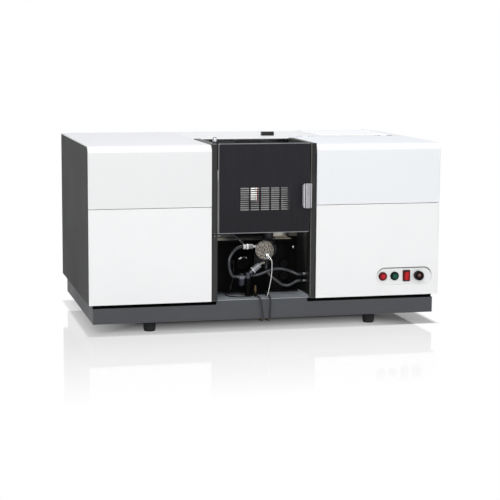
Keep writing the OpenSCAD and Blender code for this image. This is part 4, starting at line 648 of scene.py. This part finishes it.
def paint_fittings():
    # On the right, left and back walls, and where the drain tubes end under the base
    paint("hose_fittings", POLISHED, x=near(BAY_RIGHT, 10))
    paint("hose_fittings", BLACK, x=near(BAY_LEFT, 15))
    paint("hose_fittings", BLACK, y=near(BAY_BACK, 9))
    paint("hose_fittings", OLIVE, z=(0, DECK))
    # On the tray: the drain tubes' outlets and the drain cock
    _, y, z = LEFT_DRAIN_ROUTE[0]
    paint("hose_fittings", OUTLET, y=(y - 8, y + 16), z=near(z, 7))
    paint("hose_fittings", OLIVE, x=near(COCK[0], 5), y=near(COCK[1], 6), z=(DECK + 1.5, DECK + 33))
    # The stud under the igniter's plug, the air coupling and its white collar, and the plug's ring
    x, y, z = AIR_ROUTE[0]
    paint("hose_fittings", BLACK_TUBE, x=near(x, 5.8), y=(y - 10, y + 2), z=(z + 8.2, z + 16))
    paint("hose_fittings", BARREL, x=(x + 6, x + 25), y=near(y, 9), z=near(z, 9))
    paint("hose_fittings", FITTING, x=near(UNION_END[X], 2.5), y=near(y, 9), z=near(z, 9))
    x, _, z = IGNITER_ROUTE[-1]
    paint("igniter_plug", FITTING, x=(x + 0.5, x + 2), z=(z - 3, z))


def paint_union():
    # From the spray chamber down: taper, barrel, a collar that stays clear, and smoked elbow
    for finish, low, high in ((TAPER, -10, 13), (BARREL, 13, 35), (SMOKED, 40.2, 100)):
        paint_along("drain_union", finish, UNION_TOP, UNION_END, low, high)


def paint_bay():
    # Painted shade on the right wall's inner side under the door, a painted highlight on its front edge, and
    # the adjuster knob's upper rim
    wall_x, wall_y, wall_z = extent("right_bay_wall")[0]
    paint("right_bay_wall", WALL_INNER_SHADE, x=near(wall_x, 0.2), z=(wall_z, extent("door_plate")[0][Z]))
    paint("right_bay_wall", COLUMN_EDGE_HIGHLIGHT, x=(wall_x - 0.5, wall_x + 1.6), y=(wall_y - 0.2, wall_y + 3.5))
    low, high = extent("adjuster_knob")
    middle = (low[X] + high[X]) / 2
    paint("adjuster_knob", KNOB_RIM, x=(middle - 19, middle + 9), y=(low[Y] - 0.1, low[Y] + 6),
          z=(high[Z] - 9, high[Z] + 2))


# How far the door's frame shows round its plate
DOOR_EDGE = 2.55


def paint_door():
    low, high = extent("door_plate")
    # Dark hinge arms under and over the door, in the door's paint with its painted shade
    paint("door_frame", SHADED_DOOR, z=(low[Z] - 7, low[Z] - DOOR_EDGE))
    paint("door_frame", SHADED_DOOR, z=(high[Z] + DOOR_EDGE, high[Z] + 7))
    # Painted highlight on the upper edge, painted shade on the left edge and in the pull's grooves
    paint("door_frame", EDGE_TOP_HIGHLIGHT, z=(high[Z] - 0.1, high[Z] + DOOR_EDGE))
    paint("door_frame", EDGE_LEFT_SHADE, x=(low[X] - 3.1, low[X] + 0.1), z=(low[Z] + 1.5, high[Z] - 0.5))
    low, high = extent("door_pull")
    paint("door_pull", GROOVE_SHADE, y=(low[Y] + 0.08, low[Y] + 1.1), z=(low[Z] + 2, high[Z] - 2))


def paint_controls():
    # Painted shade on the rings of both buttons, in the caps' darkened colours, and on the two sides of the
    # rocker's frame, the left darker than the right
    for button, ring in (("red_button", RED_RIM_SHADE), ("green_button", GREEN_RIM_SHADE)):
        low, high = extent(button)
        paint("control_bezels", ring, x=(low[X] - 3, high[X] + 3))
    low, high = extent("rocker")
    paint("control_bezels", ROCKER_LEFT_SHADE, x=(low[X] - 6, low[X] + 0.1))
    paint("control_bezels", ROCKER_RIGHT_SHADE, x=(high[X] - 0.1, high[X] + 6))


# Cords: routes as in the part's source

HOSE_WIDTH = 9.2
CABLE_WIDTH = 3.2
DRAIN_WIDTH = 4.0
CAPILLARY_WIDTH = 2.0
CORD_STEPS = 4

AIR_ROUTE = [(-56, -230, 230), (-64, -230, 230), (-77, -232, 225), (-90, -236, 213), (-99, -240, 197),
             (-101, -243, 180), (-98, -243, 164), (-92, -240, 151), (-84.6, -238.6, 146),
             (-77.6, -238.6, 146)]
UPPER_ROUTE = [(-30.5, -238.6, 148), (-22, -238.6, 148), (-10, -241, 151), (2, -244, 156), (24, -246, 164),
               (44, -244, 166), (63, -241, 163), (83, -243, 157), (101, -250, 149), (115.5, -250, 149)]
LOWER_ROUTE = [(12, -232, 176), (12, -232, 168), (15, -232, 157), (22, -233, 147), (34, -235, 136),
               (47, -236, 126), (60, -238, 118), (77, -243, 117), (100, -250, 130), (115.5, -250, 130)]
CAPILLARY_ROUTE = [(11.5, -285, 200), (12.2, -286.7, 199.2), (13.6, -288, 196), (14.4, -288, 189),
                   (14.6, -287, 178), (14.4, -285, 158), (12, -284, 138), (8.5, -284, 120), (4.5, -285, 103),
                   (0, -287, 93.5), (-7, -289, 90.4), (-14, -287, 90.3), (-20, -288, 90.3)]
IGNITER_ROUTE = [(-140, -250, 262), (-131, -250, 262), (-118, -249, 266), (-104, -248, 268), (-91, -246, 266),
                 (-81, -244.5, 261), (-75, -242.5, 257), (-70, -240, 252)]
FLOOR_ROUTE = [(-68, -161, 176), (-68, -166, 176), (-69, -170, 168), (-71, -167, 140), (-75, -166, 112),
               (-81, -170, 96), (-90, -182, 91), (-101, -202, 91), (-106, -225, 91), (-98, -248, 91),
               (-78, -261, 91), (-56, -264, 91), (-36, -253, 91), (-29, -238, 91), (-36, -222, 91),
               (-54, -215, 91), (-76, -214, 91), (-98, -219, 93), (-122, -236, 101), (-140, -236, 101)]
LEFT_DRAIN_ROUTE = [(-26, -262, 95), (-26, -272, 95), (-25, -284, 94), (-23, -293, 92.5), (-21, -299, 86),
                    (-18, -299, 70), (-15, -298, 48), (-13, -296, 30), (-12, -288, 23), (-12, -278, 22),
                    (-12, -268, 22)]
RIGHT_DRAIN_ROUTE = [(8, -262, 95), (8, -272, 95), (8, -284, 94), (8, -293, 92.5), (8, -299, 86),
                     (8, -299, 70), (7, -298, 48), (7, -296, 30), (7, -288, 23), (7, -278, 22), (7, -268, 22)]


def smooth_line(route):
    """Points along a smooth curve through the route's points."""
    p = [Vector(q) for q in route]
    p = [2 * p[0] - p[1]] + p + [2 * p[-1] - p[-2]]
    out = []
    for a, b, c, d in zip(p, p[1:], p[2:], p[3:]):
        for k in range(CORD_STEPS):
            t = k / CORD_STEPS
            out.append(0.5 * ((2 * b) + (c - a) * t + (2 * a - 5 * b + 4 * c - d) * t * t
                              + (3 * b - 3 * c + d - a) * t ** 3))
    out.append(p[-2])
    return out


def cord(name, route, diameter, node, finish):
    points = [q * MM for q in smooth_line(route)]
    data = bpy.data.curves.new(name, "CURVE")
    data.dimensions = "3D"
    data.bevel_depth = diameter * MM / 2
    data.bevel_resolution = 5
    data.use_fill_caps = True
    data.materials.append(finish)
    spline = data.splines.new("POLY")
    spline.points.add(len(points) - 1)
    for target, q in zip(spline.points, points):
        target.co = (*q, 1)
    o = bpy.data.objects.new(name, data)
    bpy.context.scene.collection.objects.link(o)
    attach(o, ROOT)
    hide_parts(node)


cord("air_hose", AIR_ROUTE, HOSE_WIDTH, "gas_hoses", GREY_TUBE)
cord("upper_hose", UPPER_ROUTE, HOSE_WIDTH, "gas_hoses", GREY_TUBE)
cord("lower_hose", LOWER_ROUTE, HOSE_WIDTH, "gas_hoses", GREY_TUBE)
cord("sample_capillary", CAPILLARY_ROUTE, CAPILLARY_WIDTH, "capillary", CAPILLARY)
cord("igniter_cable", IGNITER_ROUTE, CABLE_WIDTH, "cables", BLACK_TUBE)
cord("floor_cable", FLOOR_ROUTE, CABLE_WIDTH, "cables", BLACK_TUBE)
cord("left_drain_tube", LEFT_DRAIN_ROUTE, DRAIN_WIDTH, "drain_tubes", BLACK_TUBE)
cord("right_drain_tube", RIGHT_DRAIN_ROUTE, DRAIN_WIDTH, "drain_tubes", BLACK_TUBE)

for node_name in NODES:
    dress(node_name)
paint_gap()
paint_cabinet()
paint_shield()
paint_fittings()
paint_union()
paint_bay()
paint_door()
paint_controls()


# Floor and backdrop, in metres

BASE_INSET = 0.0125
FLOOR_SIZE = 24
FLOOR_GREY = 0.92
# Outside the outline the floor turns white over a short way, and its reflection fades over a long one
FLOOR_FADE = (0.001, 0.02)
FLOOR_SHINE = 0.24
SHINE_REACH = 0.8
# Share of glowing white painted into the shadow, from deep under the base to its outline
SHADOW_REACH = 0.16
SHADOW_PAINTED_GLOW = (0.03, 0.5)
# Painted shade: the floor is painted darker at the right end, away from the key light, so the shadow there is
# deeper
RIGHT_SHADE_FADE = (0.28, 0.44)
RIGHT_SHADE_GREY = 0.28
RIGHT_SHADE_SHARE = 0.3
FLOOR_GLOSS = 0.05
SKY = (0.97, 0.985, 1.0, 1.0)
SKY_STRENGTH = 0.26
# The part of the sky behind the instrument, as shares of a direction
BEHIND = (0.2, 0.4)


def outside_base(tree, x, y):
    """How far a point of the floor lies outside the base's outline, in metres."""
    aside = calc(tree, "SUBTRACT", calc(tree, "ABSOLUTE", x), RIGHT_END * MM - BASE_INSET)
    ahead = calc(tree, "SUBTRACT", calc(tree, "ABSOLUTE", y), REAR * MM - BASE_INSET)
    return calc(tree, "MAXIMUM", aside, ahead)


def floor_material():
    m = bpy.data.materials.new("floor")
    m.use_nodes = True
    tree = m.node_tree
    tree.nodes.clear()
    x, y, _ = coordinates(tree)
    outside = outside_base(tree, x, y)
    path = tree.nodes.new("ShaderNodeLightPath")
    seen = calc(tree, "MAXIMUM", path.outputs["Is Camera Ray"], path.outputs["Is Glossy Ray"])
    right = product(tree, span(tree, x, *RIGHT_SHADE_FADE), seen)
    shadow = span(tree, outside, -SHADOW_REACH, 0.0, *SHADOW_PAINTED_GLOW)
    under = product(tree, shadow, span(tree, right, 0.0, 1.0, 1.0, RIGHT_SHADE_SHARE))
    lit = tree.nodes.new("ShaderNodeBsdfDiffuse")
    tree.links.new(ramp(tree, right, [(0.0, grey(FLOOR_GREY)), (1.0, grey(RIGHT_SHADE_GREY))]), lit.inputs["Color"])
    white = shader(tree, "ShaderNodeEmission", Strength=1.0)
    whiteness = calc(tree, "MAXIMUM", under, span(tree, outside, *FLOOR_FADE))
    plain = blend(tree, product(tree, whiteness, seen), lit.outputs[0], white)
    mirror = shader(tree, "ShaderNodeBsdfGlossy", Color=grey(1), Roughness=FLOOR_GLOSS)
    surface = blend(tree, span(tree, outside, 0.0, SHINE_REACH, FLOOR_SHINE, 0.0), plain, mirror)
    out = tree.nodes.new("ShaderNodeOutputMaterial")
    tree.links.new(surface, out.inputs["Surface"])
    return m


def make_floor():
    bpy.ops.mesh.primitive_plane_add(size=FLOOR_SIZE, location=(0, 0, 0))
    floor = bpy.context.object
    floor.name = "floor"
    floor.data.materials.append(floor_material())


def make_world():
    world = bpy.data.worlds.new("world")
    bpy.context.scene.world = world
    world.use_nodes = True
    tree = world.node_tree
    tree.nodes.clear()
    # White where the camera looks, and in reflections of the backdrop behind the instrument
    path = tree.nodes.new("ShaderNodeLightPath")
    behind = span(tree, coordinates(tree, "Generated")[Y], *BEHIND)
    mirrored = product(tree, behind, path.outputs["Is Glossy Ray"])
    seen = calc(tree, "MAXIMUM", mirrored, path.outputs["Is Camera Ray"])
    soft = shader(tree, "ShaderNodeBackground", Color=SKY, Strength=SKY_STRENGTH)
    white = shader(tree, "ShaderNodeBackground", Color=grey(1), Strength=1.0)
    out = tree.nodes.new("ShaderNodeOutputWorld")
    tree.links.new(blend(tree, seen, soft, white), out.inputs["Surface"])


# Light: places and sizes in metres, power in watts

def area_light(name, at, towards, size, power, colour=(1, 1, 1)):
    data = bpy.data.lights.new(name, "AREA")
    data.shape = "RECTANGLE"
    data.size, data.size_y = size
    data.energy = power
    data.color = colour
    o = bpy.data.objects.new(name, data)
    o.location = at
    o.rotation_euler = (Vector(towards) - Vector(at)).to_track_quat("-Z", "Y").to_euler()
    bpy.context.scene.collection.objects.link(o)


make_floor()
make_world()
area_light("key", (-1.2, -3.4, 2.0), (0, 0, 0.25), (2.4, 1.6), 68)
area_light("fill", (2.4, -2.8, 1.3), (0.1, 0, 0.25), (1.8, 1.6), 26)
area_light("top", (0, 0.1, 2.6), (0, 0, 0.4), (2.4, 2.0), 33, (0.95, 0.97, 1.0))
area_light("shield", (-0.011, -0.25, 0.277), (-0.011, -0.155, 0.262), (0.26, 0.015), 0.03)
area_light("flue", (-0.014, -0.17, 0.50), (-0.014, -0.052, 0.38), (0.2, 0.08), 0.6)

bpy.context.scene.view_settings.view_transform = "Standard"
